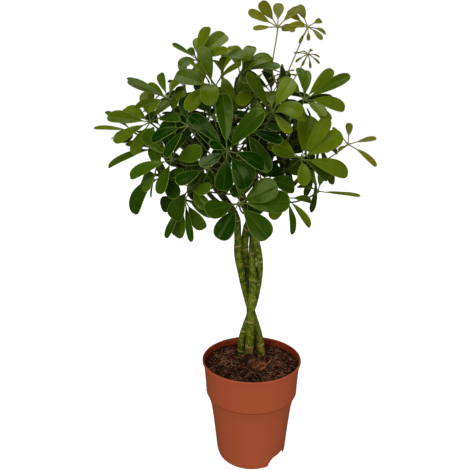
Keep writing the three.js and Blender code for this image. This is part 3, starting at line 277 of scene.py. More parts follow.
# A row holds the hub's x, y and z, the azimuth (from the front towards +X) and elevation that the
# upper side faces, the kind, and the leaflets. These are a list for the leaves that show well, each
# with its direction, how far it rises, how far it bends down, its length, and its width as a share of
# it. For the others they are the number of leaflets, the arc that they fill, its middle, their length,
# width, rise and bend. The two rows at x 47 and 97 are light here and dark in the part's source.
FRONT_LEAVES = [
    [-39, -128, 535, 5, 38, "dark", [
        [94, 33, 25, 66, 0.34], [133, 11, 25, 60, 0.3], [22, 70, 40, 66, 0.34], [223, 26, 30, 38, 0.5],
        [206, 68, 50, 30, 0.5],
    ]],
    [-24, -112, 463, 3, 22, "dark", [
        [77, -8, 20, 46, 0.62], [0, 13, 15, 60, 0.56], [312, 9, 20, 52, 0.6], [241, 16, 20, 47, 0.6],
        [199, 28, 20, 43, 0.58], [22, 22, 20, 50, 0.6],
    ]],
    [-132, -74, 497, -35, 35, "dark", [
        [254, 46, 95, 66, 0.4], [184, 9, 60, 48, 0.4], [127, 12, 30, 44, 0.44], [0, 31, 40, 40, 0.44],
        [292, 60, 90, 50, 0.36],
        [325, 30, 30, 44, 0.5],
    ]],
    [-116, -90, 521, -25, 32, "dark", [
        [202, 10, 30, 60, 0.34], [111, 16, 30, 58, 0.48], [4, 26, 20, 46, 0.5], [90, 6, 30, 58, 0.46],
        [143, 26, 30, 50, 0.42], [265, -2, 30, 46, 0.4],
    ]],
    [-101, -75, 463, -15, 20, "dark", [
        [190, -6, 40, 38, 0.6], [244, 0, 20, 52, 0.24], [248, -20, 20, 52, 0.56],
        [289, 17, 10, 56, 0.18], [301, -26, 20, 42, 0.5],
        [60, 0, 30, 40, 0.5], [340, 10, 30, 42, 0.5],
    ]],
    [-91, -95, 484, -15, 25, "dark", [
        [160, -1, 30, 36, 0.6], [344, 44, 30, 34, 0.62], [96, -21, 20, 36, 0.6],
        [131, -1, 30, 36, 0.56], [314, 30, 40, 32, 0.5],
    ]],
    [62, -95, 523, 20, 27, "light", [
        [68, 10, 25, 62, 0.46], [24, 16, 20, 56, 0.46], [343, 18, 30, 68, 0.36], [340, 0, 30, 56, 0.3],
        [178, 36, 20, 50, 0.3], [254, 42, 60, 40, 0.4], [52, 34, 40, 56, 0.36],
    ]],
    [69, -60, 603, 20, 32, "light", [
        [69, 8, 20, 46, 0.26], [41, 13, 20, 56, 0.3], [16, 22, 20, 62, 0.28], [350, 22, 40, 56, 0.38],
        [86, 10, 50, 44, 0.4], [275, 42, 40, 44, 0.4],
        [112, 10, 30, 44, 0.46], [300, 40, 40, 40, 0.46],
    ]],
    [21, -100, 584, 10, 35, "light", [
        [159, 64, 25, 60, 0.5], [57, 20, 35, 52, 0.42], [317, 82, 95, 46, 0.5], [86, 16, 60, 52, 0.4],
        [212, 76, 80, 40, 0.45], [284, 43, 40, 44, 0.4],
    ]],
    [-83, -20, 662, -10, 22, "light", [
        [144, -1, 20, 44, 0.18], [125, -10, 15, 36, 0.26], [100, -10, 20, 36, 0.4],
        [58, -8, 25, 56, 0.44], [354, 47, 30, 50, 0.28], [242, 74, 60, 40, 0.36],
        [78, 14, 30, 42, 0.42], [286, 60, 50, 44, 0.46],
    ]],
    [-124, -55, 605, -25, 48, "light", [
        [168, 28, 15, 58, 0.24], [148, 26, 20, 50, 0.3], [176, 22, 30, 54, 0.24],
        [123, 29, 40, 44, 0.3], [278, 47, 60, 48, 0.36], [92, 25, 60, 44, 0.36],
        [205, 24, 30, 40, 0.4], [66, 20, 40, 42, 0.42],
    ]],
    [-185, -10, 560, -15, 55, "light", [
        [180, 14, 15, 54, 0.18], [152, 23, 20, 52, 0.24], [166, -9, 40, 48, 0.26],
        [328, 24, 30, 38, 0.34],
        [280, 30, 30, 42, 0.42],
    ]],
    [-150, -40, 534, -20, 45, "light", [
        [206, 12, 35, 64, 0.34], [166, 11, 30, 42, 0.36], [183, 9, 30, 52, 0.3],
        [117, 10, 30, 40, 0.4], [302, 22, 60, 40, 0.4],
    ]],
    [-59, -78, 618, -5, 50, "light", [
        [220, 80, 40, 52, 0.46], [106, 26, 30, 54, 0.36], [343, 65, 40, 52, 0.42],
        [280, 74, 120, 52, 0.44], [242, 55, 60, 52, 0.34], [313, 56, 80, 48, 0.4],
    ]],
    [-47, -52, 636, 0, 55, "light", [
        [317, 95, 125, 62, 0.4], [99, 44, 60, 46, 0.42], [72, 64, 80, 46, 0.42],
        [233, 85, 100, 44, 0.38], [284, 44, 120, 50, 0.4],
    ]],
    [-21, -30, 640, 20, 50, "light", [
        [30, 33, 50, 56, 0.4], [308, 62, 50, 62, 0.32], [286, 54, 90, 50, 0.4], [59, 47, 80, 46, 0.4],
        [260, 39, 110, 50, 0.4],
        [100, 30, 30, 42, 0.46],
    ]],
    [-1, -70, 606, 5, 50, "light", [
        [232, 80, 60, 46, 0.44], [80, 16, 50, 44, 0.4], [296, 82, 90, 46, 0.4],
        [238, 62, 100, 46, 0.4], [275, 56, 100, 44, 0.4],
    ]],
    [47, -70, 465, 25, 25, "light", [
        [289, -26, 20, 50, 0.34], [310, -11, 25, 48, 0.3], [65, -13, 20, 44, 0.44],
        [217, 23, 30, 40, 0.4], [358, -4, 30, 44, 0.3],
    ]],
    [97, -40, 471, 10, 62, "light", [
        [313, 26, 10, 58, 0.22], [65, 20, 20, 34, 0.4], [102, 22, 30, 36, 0.4],
        [111, -16, 20, 40, 0.3],
    ]],
    [146, -10, 540, 10, 32, "young", [
        [119, -5, 10, 24, 0.26], [79, 9, 15, 24, 0.48], [8, 15, 20, 32, 0.32], [315, 16, 40, 42, 0.24],
        [216, 35, 30, 20, 0.3],
    ]],
    [37, 25, 716, 0, 20, "young", [
        [158, 16, 12, 36, 0.42], [122, 2, 10, 36, 0.44], [87, -1, 10, 33, 0.48],
        [46, -1, 15, 36, 0.42], [197, 26, 20, 28, 0.34], [12, -4, 25, 32, 0.34],
        [320, 47, 30, 24, 0.34],
    ]],
    [86, 45, 720, 10, 25, "young", [
        [102, -2, 15, 30, 0.46], [36, -8, 30, 22, 0.38], [5, -10, 30, 28, 0.34],
        [291, 40, 40, 28, 0.34], [261, 31, 30, 16, 0.4], [181, 24, 25, 28, 0.4],
        [239, 28, 30, 18, 0.3],
        [140, 6, 15, 26, 0.42],
    ]],
    [-106, 0, 627, -20, 60, "light", [
        [141, 13, 50, 44, 0.3], [285, 45, 70, 44, 0.34], [266, 44, 60, 46, 0.32],
        [92, 28, 60, 44, 0.34], [108, 26, 70, 44, 0.34],
    ]],
    [-56, -110, 577, -10, 38, "dark", [7, 240, 90, 54, 0.42, 12, 30]],
    [-91, -110, 567, -15, 38, "dark", [7, 260, 110, 52, 0.42, 0, 30]],
    [-16, -92, 564, 5, 15, "dark", [
        [337, -2, 30, 46, 0.36], [300, -2, 25, 58, 0.4], [288, -28, 20, 50, 0.38],
        [149, -50, 20, 42, 0.4], [47, -20, 40, 44, 0.4],
    ]],
    [-65, -110, 512, -10, 28, "dark", [7, 300, 110, 42, 0.44, -10, 30]],
    [9, -85, 493, 15, 30, "dark", [7, 300, 350, 48, 0.5, -15, 30]],
    [101, -30, 567, 25, 40, "light", [
        [343, -15, 50, 46, 0.36], [250, 28, 50, 48, 0.36], [231, 17, 40, 46, 0.36],
        [188, 46, 40, 44, 0.36], [70, -1, 40, 44, 0.36],
    ]],
    [-153, -40, 573, -25, 45, "light", [7, 220, 150, 54, 0.4, 5, 25]],
    [48, -80, 564, 20, 45, "dark", [7, 260, 70, 52, 0.44, 5, 25]],
    [90, 60, 682, 10, 40, "young", [8, 360, 60, 18, 0.3, -20, 20]],
    [46, 30, 649, 0, 50, "young", [7, 360, 90, 16, 0.26, 0, 10]],
    [-161, 20, 602, -20, 50, "young", [5, 250, 130, 16, 0.26, 10, 10]],
]
CROWN_MIDDLE = [-22, 18, 538]
CROWN_HALF = [128, 122, 112]
INNER_SHARE = 0.82
BACK_COUNT = 36
BACK_LEAFLETS = 7  # every second leaf has one more
GOLDEN_ANGLE = 137.508
FIRST_AZIMUTH = -60
ELEVATIONS = [-25, 80]
FRONT_SECTOR = 62
TOP_SHARE = 0.9
LOWEST_HUB = 448
TILTS = [0, 60]
TILT_OVER = 30
BACK_ARC = 330
BACK_MIDDLE = -90
MIDDLE_CYCLE = [37, 51]
BACK_LENGTH = 58
LENGTH_STEP = 2.5
LENGTH_CYCLE = [7, 5]
BACK_WIDTH = 0.48
BACK_BEND = 30
UPPER_SHARE = 0.6
UPPER_RISE = 15
MOST_LEAVES = 53
FEWEST_LEAFLETS = 4
ROOM_LOW = np.array([-330, -300, 300])
ROOM_HIGH = np.array([300, 300, 820])
CELL = 2.5
STEM_MARK = 255
NEAR = 22
BLADE_SAMPLES = [21, 9]
STALK_SAMPLES = [0, 0.25, 0.5, 0.75]
SKIN_STEPS = 8
SKIN_SIDES = 10
RIM_SIDES = 8
SEED = 7
DRAW_FACTOR = 48271
DRAW_RANGE = 2147483647

# The finer form of a leaf
BLADE = 0.75
FULLNESS = 1.06  # how much wider the rounded outline is than the flat-sided one that it replaces
# Within this share of the crown's outline, as seen from the front, a leaf at the back gets its full
# painted shade
SHADED_WITHIN = 0.7
BLADE_ROWS = 22
FIRST_ROW = 0.004
ROWS_TO_TIP = 1.6  # the power that brings a blade's rows closer together towards its tip
STALK_ROWS = 5
STALK_RADIUS = 0.85
STALK_START = 0.4  # the share of the hub's radius at which a stalk starts, inside it
STALK_FOOT = (0.5, 9)  # how much thicker it is there, and how fast that fades
RIB_SHARE = 0.25  # the midrib's radius at the tip, as a share of the stalk's
RIB_WIDTH = 1.1  # the midrib's width, as a share of its height
GROOVE_DEPTH = 0.3
GROOVE_WIDTH = 0.8
KEEL = 1.2  # how far out from the midrib the fold rounds off
FOLD_SPREAD = (-3, 9)
YOUNG_FOLD = 0.4
ROLL_SPREAD = (-0.1, 0.05)
RIPPLE_HEIGHTS = (0.1, 0.75)
RIPPLE_WAVE = 8.5  # in radians over the length of a blade
RIPPLE_FULL_WIDTH = 20
# A leaflet's own tint, and how a dark leaf's is narrower, deeper, and lighter at the crown's lower left
# and all along its lower side: where, in x or z, it starts to be lighter and where it is lightest
TINTS = (-0.25, 0.5)
DARK_SPREAD = 0.7
DARK_DEPTH = 0.27
LIGHTER_BY = (0.2, 1.2)
LIGHTER_SHARES = (0.75, 0.25)
LIGHTER_LEFT = (-50, -105)
LIGHTER_LOW = (545, 505)
LIGHTER_BOTTOM = (505, 450)
CLEAR = 2.0  # so far in from the edge, its pale line no longer shows
# Shares of the blade's length from its base: where it is flat, where its fold is open, where it stands
# off its middle line in full, and where its pale edge starts
FLAT_FROM = 0.1
FOLD_FROM = 0.3
LIFT_FROM = 0.2
EDGE_FROM = 0.05
# Where a leaflet's points stand across it, from one edge to the midrib, as shares of half its width
ACROSS = [1, 0.95, 0.8, 0.55, 0.3, 0.1]
OUTLINE_POWERS = [0.92, 0.42]
# Leaf surfaces: the deep and the fresh colour, roughness, specular level, how high the side veins stand
# out, and how much of the pale line shows along the midrib and along the edge
LEAF_SURFACES = {
    "dark_leaf_top": [(12, 45, 0), (68, 92, 10), 0.22, 0.24, -0.5, 0.36, 0.75],
    "dark_leaf_under": [(70, 90, 12), (92, 108, 22), 0.55, 0.1, 0.6, 0.5, 0.6],
    "light_leaf_top": [(54, 74, 0), (98, 112, 6), 0.32, 0.14, -0.5, 0.36, 0.4],
    "light_leaf_under": [(86, 100, 8), (112, 122, 20), 0.55, 0.1, 0.6, 0.5, 0.6],
    "young_leaf_top": [(84, 88, 2), (116, 114, 12), 0.4, 0.16, -0.4, 0.3, 0.2],
    "young_leaf_under": [(90, 92, 8), (118, 116, 22), 0.6, 0.1, 0.5, 0.4, 0.2],
}
SHEEN = (0.9, 1.0, 0.35, 1.0)
ROUGHNESS_SPREAD = (0.07, 0.09)
VEIN_SLANT = 0.62
VEIN_SPACING = 5.2
VEIN_SHARE = 0.1
# Each pair is where a line is full and where it ends: how far out from the line's middle, or for the
# last how far from the midrib
MIDRIB_LINE = (0.15, 0.6)
EDGE_LINE = (0.3, 0.95)
VEIN_LINE = (0.05, 0.6)
VEIN_REACH = (14, 2)
# How far the painted shade at the back of the crown darkens undersides and stalks, at most
INNER_SHADE = 0.75
SWELL = 9  # how much higher the blade's soft swells are than its veins

# Bark. Each pair of heights, in metres, is where a finish is full and where it ends.
PORE_STRETCH = (1.0, 1.0, 0.55)
DARK_FOOT = (0.17, 0.225)
WOODY_FOOT = (0.165, 0.215)
WOODY_TOP = (0.44, 0.37)
# Below it the woody patches are tan, above it a darker brown that is partly painted shade inside the
# crown
WOOD_CHANGE = (0.4, 0.3)
# Painted shade on the bark inside the crown
CROWN_SHADE = (0.46, 0.39)

# Petioles and hubs
PETIOLE_ROWS = 30
PETIOLE_COLUMNS = 10
PETIOLE_SINK = 1.2
PETIOLE_ROW_POWER = 1.2  # this brings a petiole's rows closer together at its foot
# How much thicker a petiole is at its foot and under the hub, and over which share of its length
PETIOLE_FOOT = (1.1, 0.04)
PETIOLE_FLARE = (0.4, 0.05)
HUB_ROWS = 7
HUB_COLUMNS = 14
HUB_HALF_HEIGHT = 1.7
HUB_ROUNDNESS = 1.35  # how far up and down the ball its loops reach, in radians
HUB_WIDTH = 0.95

# A leaf's materials, by their places in its list
TOP, UNDER, STALKS = 0, 1, 2

# The other colours, as they show on a screen, from 0 to 255
COLOURS = {
    "leaf_line": (78, 104, 22),
    "leaf_edge": (124, 142, 58),
    # Painted shade for undersides and stalks at the back of the crown
    "painted_crown_shade": (14, 20, 4),
    "stalk": (92, 108, 26),
    "stalk_patch": (70, 84, 16),
    "young_stalk": (132, 132, 58),
    "young_patch": (112, 96, 48),
    "bark": (100, 114, 10),
    "bark_mottle": (58, 76, 4),
    "bark_foot": (40, 50, 8),
    # Painted shade for the bark inside the crown
    "painted_bark_shade": (24, 26, 8),
    "wood_below": (112, 90, 42),
    # The woody patches' darker brown higher up, partly painted shade inside the crown
    "wood_and_shade_above": (50, 42, 16),
    "pore": (160, 162, 60),
    "scar": (154, 136, 78),
    "pot": (163, 75, 41),
    "pot_cloud": (170, 81, 46),
    # Painted shadow under the band's edge
    "painted_band_shadow": (112, 44, 22),
    # Painted shade inside the pot
    "painted_pot_inside_shade": (134, 46, 16),
    "soil_dust": (66, 32, 18),
    "peat": (94, 40, 18),
    "peat_crumb": (16, 7, 4),
    "peat_cloud": (38, 15, 6),
    "root_ball": (150, 90, 42),
    "fibre": (54, 24, 12),
    "pale_fibre": (176, 130, 92),
    "chip": (28, 12, 7),
    "pale_chip": (156, 90, 48),
}

# Floor, light and camera. Places and sizes are in metres, the lens and its sensor in millimetres.
FLOOR_REACH = 8
ROOM_LIGHT = 0.48  # how bright the white room is as light, with the background that shows as 1
ROOM_GLOSS = 0.04  # the same in reflections
# Soft boxes: place, target, size and power in watts
LAMPS = {
    "key_box": [(-0.9, -1.8, 1.1), (-0.02, 0, 0.35), 1.3, 20],
    "fill_box": [(1.2, -1.6, 0.6), (0, 0, 0.3), 1.1, 10.5],
    "top_box": [(0.1, 0.1, 2.2), (0, 0, 0), 1.2, 14],
}
CAMERA_PLACE = (-0.0286, -0.749, 0.562)
CAMERA_DROP = 12.63  # how far down it looks, in degrees
LENS = 36
SENSOR = 36


# Vectors and curves


def unit(vector):
    return vector / np.linalg.norm(vector, axis=-1, keepdims=True)


def smoothstep(low, high, value):
    """0 below low, 1 above high, and an S-shaped rise between them."""
    share = np.clip((value - low) / (high - low), 0, 1)
    return share * share * (3 - 2 * share)


def smooth_path(points, steps):
    """Points on a curve through the given ones, the same number of steps in each span. In each span it
    is the cubic whose slope at a given point is half the step between its two neighbours."""
    points = np.array(points, float)
    ends = [2 * points[0] - points[1], *points, 2 * points[-1] - points[-2]]
    share = (np.arange(steps) / steps)[:, None]
    spans = []
    for before, start, end, after in zip(ends, ends[1:], ends[2:], ends[3:]):
        leaving, arriving = (end - before) / 2, (after - start) / 2
        square = -3 * start + 3 * end - 2 * leaving - arriving
        cube = 2 * start - 2 * end + leaving + arriving
        spans.append(start + leaving * share + square * share**2 + cube * share**3)
    return np.concatenate([*spans, points[-1:]])


def bezier(corners, shares):
    """Points of the cubic curve with four corners."""
    t = np.asarray(shares)[:, None]
    a, b, c, d = corners
    return a * (1 - t) ** 3 + 3 * b * t * (1 - t) ** 2 + 3 * c * t**2 * (1 - t) + d * t**3


def path_frames(path):
    """Directions to the side and up at each point of a path. The side of one point is laid into the
    next one's plane, so a surface carried along the path doesn't twist."""
    ahead = unit(np.gradient(path, axis=0))
    side = np.array([1.0, 0, 0])
    if abs(ahead[0][0]) > 0.9:
        side = np.array([0, 1.0, 0])
    sides = []
    for direction in ahead:
        side = unit(side - direction * side.dot(direction))
        sides.append(side)
    sides = np.array(sides)
    return sides, np.cross(ahead, sides)


# Forms: points, faces and what each point and face carries


def loft(rows, slots=0, marks=None):
    """A closed surface through loops of points, as an array of rows, columns and 3. Each end closes on
    the middle of its loop. slots holds a material number for each face between loops, and marks a
    value or values for each point."""
    count, columns = rows.shape[:2]
    body = rows.reshape(-1, 3)
    points = np.concatenate([body, rows[:1].mean(axis=1), rows[-1:].mean(axis=1)])
    first = np.arange(columns)
    last = first + (count - 1) * columns
    here = first + np.arange(count - 1)[:, None] * columns
    beside = np.roll(here, -1, axis=1)
    quads = np.stack([here, beside, beside + columns, here + columns], axis=-1)
    first_fan = np.stack([np.roll(first, -1), first, np.full(columns, len(body))], axis=-1)
    last_fan = np.stack([last, np.roll(last, -1), np.full(columns, len(body) + 1)], axis=-1)
    slots = np.broadcast_to(slots, (count - 1, columns))
    form = {
        "points": points,
        "faces": quads.reshape(-1, 4).tolist() + first_fan.tolist() + last_fan.tolist(),
        "slots": np.concatenate([slots.ravel(), slots[0], slots[-1]]),
        "marks": {},
    }
    for name, values in (marks or {}).items():
        values = np.broadcast_to(values, (count, columns, np.shape(values)[-1]))
        ends = np.stack([values[0].mean(axis=0), values[-1].mean(axis=0)])
        form["marks"][name] = np.concatenate([values.reshape(-1, values.shape[-1]), ends])
    return facing_out(form)


def facing_out(form):
    """Turns the faces round if the closed surface's volume comes out negative. A face with four corners
    counts as two triangles."""
    triangles = [face[:3] for face in form["faces"]]
    triangles += [[face[0], face[2], face[3]] for face in form["faces"] if len(face) == 4]
    corners = form["points"][np.array(triangles)] - form["points"].mean(axis=0)
    a, b, c = corners.transpose(1, 0, 2)
    if np.einsum("ij,ij->i", a, np.cross(b, c)).sum() < 0:
        form["faces"] = [face[::-1] for face in form["faces"]]
    return form


def even_turns(count):
    """A number of angles all round, evenly apart."""
    return np.linspace(0, FULL, count, endpoint=False)


def about_axis(radius, height, turns):
    """Points at a radius and a height, at each angle round the axis."""
    return np.stack([radius * np.cos(turns), radius * np.sin(turns), height + 0 * turns], axis=-1)


def tube(path, radius, columns):
    """Loops of points round a path. The radius has a row for each point of the path, and one column or
    as many as the loops have points."""
    side, up = path_frames(path)
    around = even_turns(columns)[None, :, None]
    out = side[:, None] * np.cos(around) + up[:, None] * np.sin(around)
    return path[:, None] + radius[..., None] * out


def joined(forms):
    """Several forms as one."""
    starts = np.cumsum([0] + [len(form["points"]) for form in forms])
    faces = []
    for form, start in zip(forms, starts):
        faces += [[index + int(start) for index in face] for face in form["faces"]]
    names = forms[0]["marks"]
    return {
        "points": np.concatenate([form["points"] for form in forms]),
        "faces": faces,
        "slots": np.concatenate([form["slots"] for form in forms]),
        "marks": {name: np.concatenate([form["marks"][name] for form in forms]) for name in names},
    }


def new_mesh(name, form):
    """A mesh in metres from a form in millimetres."""
    mesh = bpy.data.meshes.new(name)
    mesh.from_pydata((form["points"] * MM).tolist(), [], form["faces"])
    return mesh


def new_object(name, data):
    """An object in the scene that holds a mesh, a lamp or a camera, at the origin and unturned."""
    made = bpy.data.objects.new(name, data)
    bpy.context.scene.collection.objects.link(made)
    return made


def add_piece(name, form, materials, replaced, sharp=None):
    """Makes an object from a form, with the CAD nodes that it replaces and the slot of its finish."""
    mesh = new_mesh(name, form)
    for surface in materials:
        mesh.materials.append(surface)
    mesh.polygons.foreach_set("material_index", np.asarray(form["slots"], np.int32))
    mesh.polygons.foreach_set("use_smooth", np.ones(len(mesh.polygons), bool))
    for label, values in form["marks"].items():
        kind, field = ("FLOAT", "value") if values.shape[-1] == 1 else ("FLOAT_VECTOR", "vector")
        attribute = mesh.attributes.new(label, kind, "POINT")
        attribute.data.foreach_set(field, values.ravel().astype(np.float32))
    if sharp:
        mesh.set_sharp_from_angle(angle=math.radians(sharp))
    mesh.update()
    piece = new_object(name, mesh)
    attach(piece, "root")
    if replaced:
        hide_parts(*replaced)
    return piece


def waves(count, lengths, seed):
    """A function of points in the plane: a sum of cosine waves of seeded directions and lengths."""
    draw = np.random.default_rng(seed)
    turns = draw.uniform(0, FULL, count)
    sizes = np.exp(draw.uniform(math.log(lengths[0]), math.log(lengths[1]), count))
    phases = draw.uniform(0, FULL, count)

    def height(x, y):
        along = np.multiply.outer(x, np.cos(turns)) + np.multiply.outer(y, np.sin(turns))
        return (sizes * np.cos(along * FULL / sizes + phases)).sum(axis=-1) / sizes.sum()

    return height


# Materials


def colour(red, green, blue):
    """A colour as it shows on a screen, 0 to 255, as the linear one that Blender takes."""
    shares = [value / 255 for value in (red, green, blue)]
    return [s / 12.92 if s < 0.04045 else ((s + 0.055) / 1.055) ** 2.4 for s in shares] + [1]


def paint(name):
    """A colour of the table, as Blender takes it."""
    return colour(*COLOURS[name])


def node(tree, kind, inputs=None, **settings):
    """Adds a node with its settings, and sets or links its inputs."""
    made = tree.nodes.new(kind)
    for name, value in settings.items():
        setattr(made, name, value)
    for name, value in (inputs or {}).items():
        if isinstance(value, bpy.types.NodeSocket):
            tree.links.new(value, made.inputs[name])
        else:
            made.inputs[name].default_value = value
    return made


def math_node(tree, operation, first, second=0.0, third=0.0):
    inputs = {0: first, 1: second, 2: third}
    return node(tree, "ShaderNodeMath", inputs, operation=operation).outputs[0]


def times(tree, first, second):
    return math_node(tree, "MULTIPLY", first, second)


def fade(tree, value, start, end):
    """1 where the value is at start or before it, 0 from end on, and an S between them."""
    inputs = {"Value": value, "From Min": start, "From Max": end, "To Min": 1.0, "To Max": 0.0}
    return node(tree, "ShaderNodeMapRange", inputs, interpolation_type="SMOOTHSTEP").outputs["Result"]


def mix(tree, share, first, second):
    inputs = {0: share, 6: first, 7: second}
    return node(tree, "ShaderNodeMix", inputs, data_type="RGBA").outputs[2]


def noise(tree, where, scale, detail=3.0, roughness=0.5):
    inputs = {"Vector": where, "Scale": scale, "Detail": detail, "Roughness": roughness}
    return node(tree, "ShaderNodeTexNoise", inputs).outputs["Fac"]


def place(tree):
    """Object coordinates, in metres."""
    return node(tree, "ShaderNodeTexCoord").outputs["Object"]


def part_of(tree, vector, axis):
    """One of a vector's three numbers: X, Y or Z."""
    return node(tree, "ShaderNodeSeparateXYZ", {0: vector}).outputs[axis]


def mark(tree, name, output="Fac"):
    """What the mesh carries under a name at each point."""
    return node(tree, "ShaderNodeAttribute", attribute_name=name).outputs[output]


def bump(tree, height, distance, strength=1.0):
    inputs = {"Height": height, "Distance": distance, "Strength": strength}
    return node(tree, "ShaderNodeBump", inputs).outputs["Normal"]


def material(name, roughness, specular=0.5):
    """A new material: its name, its node tree and its Principled shader."""
    made = bpy.data.materials.new(name)
    made.use_nodes = True
    tree = made.node_tree
    shader = tree.nodes["Principled BSDF"]
    shader.inputs["Roughness"].default_value = roughness
    shader.inputs["Specular IOR Level"].default_value = specular
    return made, tree, shader


def finish_material(tree, shader, base, normal, roughness=None):
    """Links what the nodes give to the shader."""
    tree.links.new(base, shader.inputs["Base Color"])
    tree.links.new(normal, shader.inputs["Normal"])
    if roughness:
        tree.links.new(roughness, shader.inputs["Roughness"])


def inner_shade(tree, base):
    """Painted shade: undersides and stalks at the back of the crown are darkened towards a near-black
    green, for the shaded inside of the crown that they face.
    """
    return mix(tree, times(tree, mark(tree, "inner"), INNER_SHADE), base, paint("painted_crown_shade"))


def side_veins(tree, across, along):
    """Veins that slant away from the midrib, one every few millimetres, clearer towards the edge."""
    lag = math_node(tree, "SUBTRACT", along, times(tree, across, VEIN_SLANT))
    off_vein = math_node(tree, "PINGPONG", lag, VEIN_SPACING / 2)
    return times(tree, fade(tree, off_vein, *VEIN_LINE), fade(tree, across, *VEIN_REACH))


def leaf_surface(name, deep, fresh, roughness, specular, vein_height, rib_share, edge_share):
    """One side of a leaflet. The mark blade holds millimetres across from the midrib, along from the
    base, and in from the edge. A pale line follows the midrib and the edge, and each leaflet has its
    own tint between the deep and the fresh colour."""
    made, tree, shader = material(name, roughness, specular)
    shader.inputs["Specular Tint"].default_value = SHEEN
    blade = mark(tree, "blade", "Vector")
    across = math_node(tree, "ABSOLUTE", part_of(tree, blade, "X"))
    vein = side_veins(tree, across, part_of(tree, blade, "Y"))
    midrib = fade(tree, across, *MIDRIB_LINE)
    rim = fade(tree, part_of(tree, blade, "Z"), *EDGE_LINE)
    cloud = noise(tree, place(tree), scale=60.0, detail=4.0)
    tint = math_node(tree, "MULTIPLY_ADD", cloud, 0.5, mark(tree, "tint"))
    base = mix(tree, tint, colour(*deep), colour(*fresh))
    base = mix(tree, times(tree, vein, VEIN_SHARE), base, paint("leaf_line"))
    base = mix(tree, times(tree, midrib, rib_share), base, paint("leaf_line"))
    base = mix(tree, times(tree, rim, edge_share), base, paint("leaf_edge"))
    # Painted shade on the undersides of leaves at the back of the crown
    if name.endswith("under"):
        base = inner_shade(tree, base)
    pits = noise(tree, place(tree), scale=900.0, detail=2.0)
    swell = times(tree, noise(tree, place(tree), scale=75.0, detail=1.0), SWELL)
    veined = math_node(tree, "ADD", times(tree, vein, vein_height), pits)
    relief = math_node(tree, "ADD", veined, swell)
    least, most = roughness - ROUGHNESS_SPREAD[0], roughness + ROUGHNESS_SPREAD[1]
    gloss = node(tree, "ShaderNodeMapRange", {"Value": cloud, "To Min": least, "To Max": most})
    normal = bump(tree, relief, distance=0.0002, strength=0.5)
    finish_material(tree, shader, base, normal, gloss.outputs["Result"])
    return made


def stalk_surface(name, main, other):
    """Petioles and leaflet stalks: fine patches of two colours, with painted shade at the back of the
    crown.
    """
    made, tree, shader = material(name, roughness=0.5)
    patches = noise(tree, place(tree), scale=240.0, detail=3.0)
    # Painted shade at the back of the crown
    base = inner_shade(tree, mix(tree, fade(tree, patches, 0.65, 0.35), main, other))
    finish_material(tree, shader, base, bump(tree, patches, distance=0.0002, strength=0.4))
    return made


def bark_pores(tree, where, patches):
    """Breathing pores: small upright specks, in patches."""
    upright = node(tree, "ShaderNodeVectorMath", {0: where, 1: PORE_STRETCH}, operation="MULTIPLY")
    inputs = {"Vector": upright.outputs[0], "Scale": 270.0, "Randomness": 1.0}
    off_pore = node(tree, "ShaderNodeTexVoronoi", inputs).outputs["Distance"]
    return times(tree, fade(tree, off_pore, 0.2, 0.4), fade(tree, patches, 0.54, 0.36))


def bark_surface():
    """Young green bark: green mottled with darker and yellower green, yellow-green breathing pores, tan
    leaf scars, and darker, browner bark near the soil. Inside the crown the woody patches are a darker
    brown that is partly painted shade, and painted shade darkens all the bark."""
    made, tree, shader = material("green_bark", roughness=0.5, specular=0.16)
    where = place(tree)
    height = part_of(tree, where, "Z")
    mottle = noise(tree, where, scale=110.0, detail=5.0, roughness=0.65)
    patches = noise(tree, where, scale=42.0, detail=4.0, roughness=0.65)
    base = mix(tree, fade(tree, mottle, 0.62, 0.38), paint("bark"), paint("bark_mottle"))
    foot = times(tree, fade(tree, height, *DARK_FOOT), 0.7)
    base = mix(tree, foot, base, paint("bark_foot"))
    low, high = fade(tree, height, *WOODY_FOOT), fade(tree, height, *WOODY_TOP)
    woody = times(tree, math_node(tree, "ADD", low, high), fade(tree, patches, 0.58, 0.42))
    # The woody patches turn a darker brown higher up, which is partly painted shade inside the crown
    wood = mix(tree, fade(tree, height, *WOOD_CHANGE), paint("wood_below"), paint("wood_and_shade_above"))
    base = mix(tree, woody, base, wood)
    # Painted shade: the bark inside the crown is darkened
    shade = times(tree, fade(tree, height, *CROWN_SHADE), 0.6)
    base = mix(tree, shade, base, paint("painted_bark_shade"))
    pore = bark_pores(tree, where, patches)
    base = mix(tree, times(tree, pore, 0.6), base, paint("pore"))
    scar = times(tree, fade(tree, mark(tree, "scar"), 0.8, 0.25), fade(tree, mottle, 0.5, 0.34))
    base = mix(tree, scar, base, paint("scar"))
    relief = math_node(tree, "ADD", times(tree, pore, 0.8), mottle)
    finish_material(tree, shader, base, bump(tree, relief, distance=0.0008, strength=0.9))
    return made


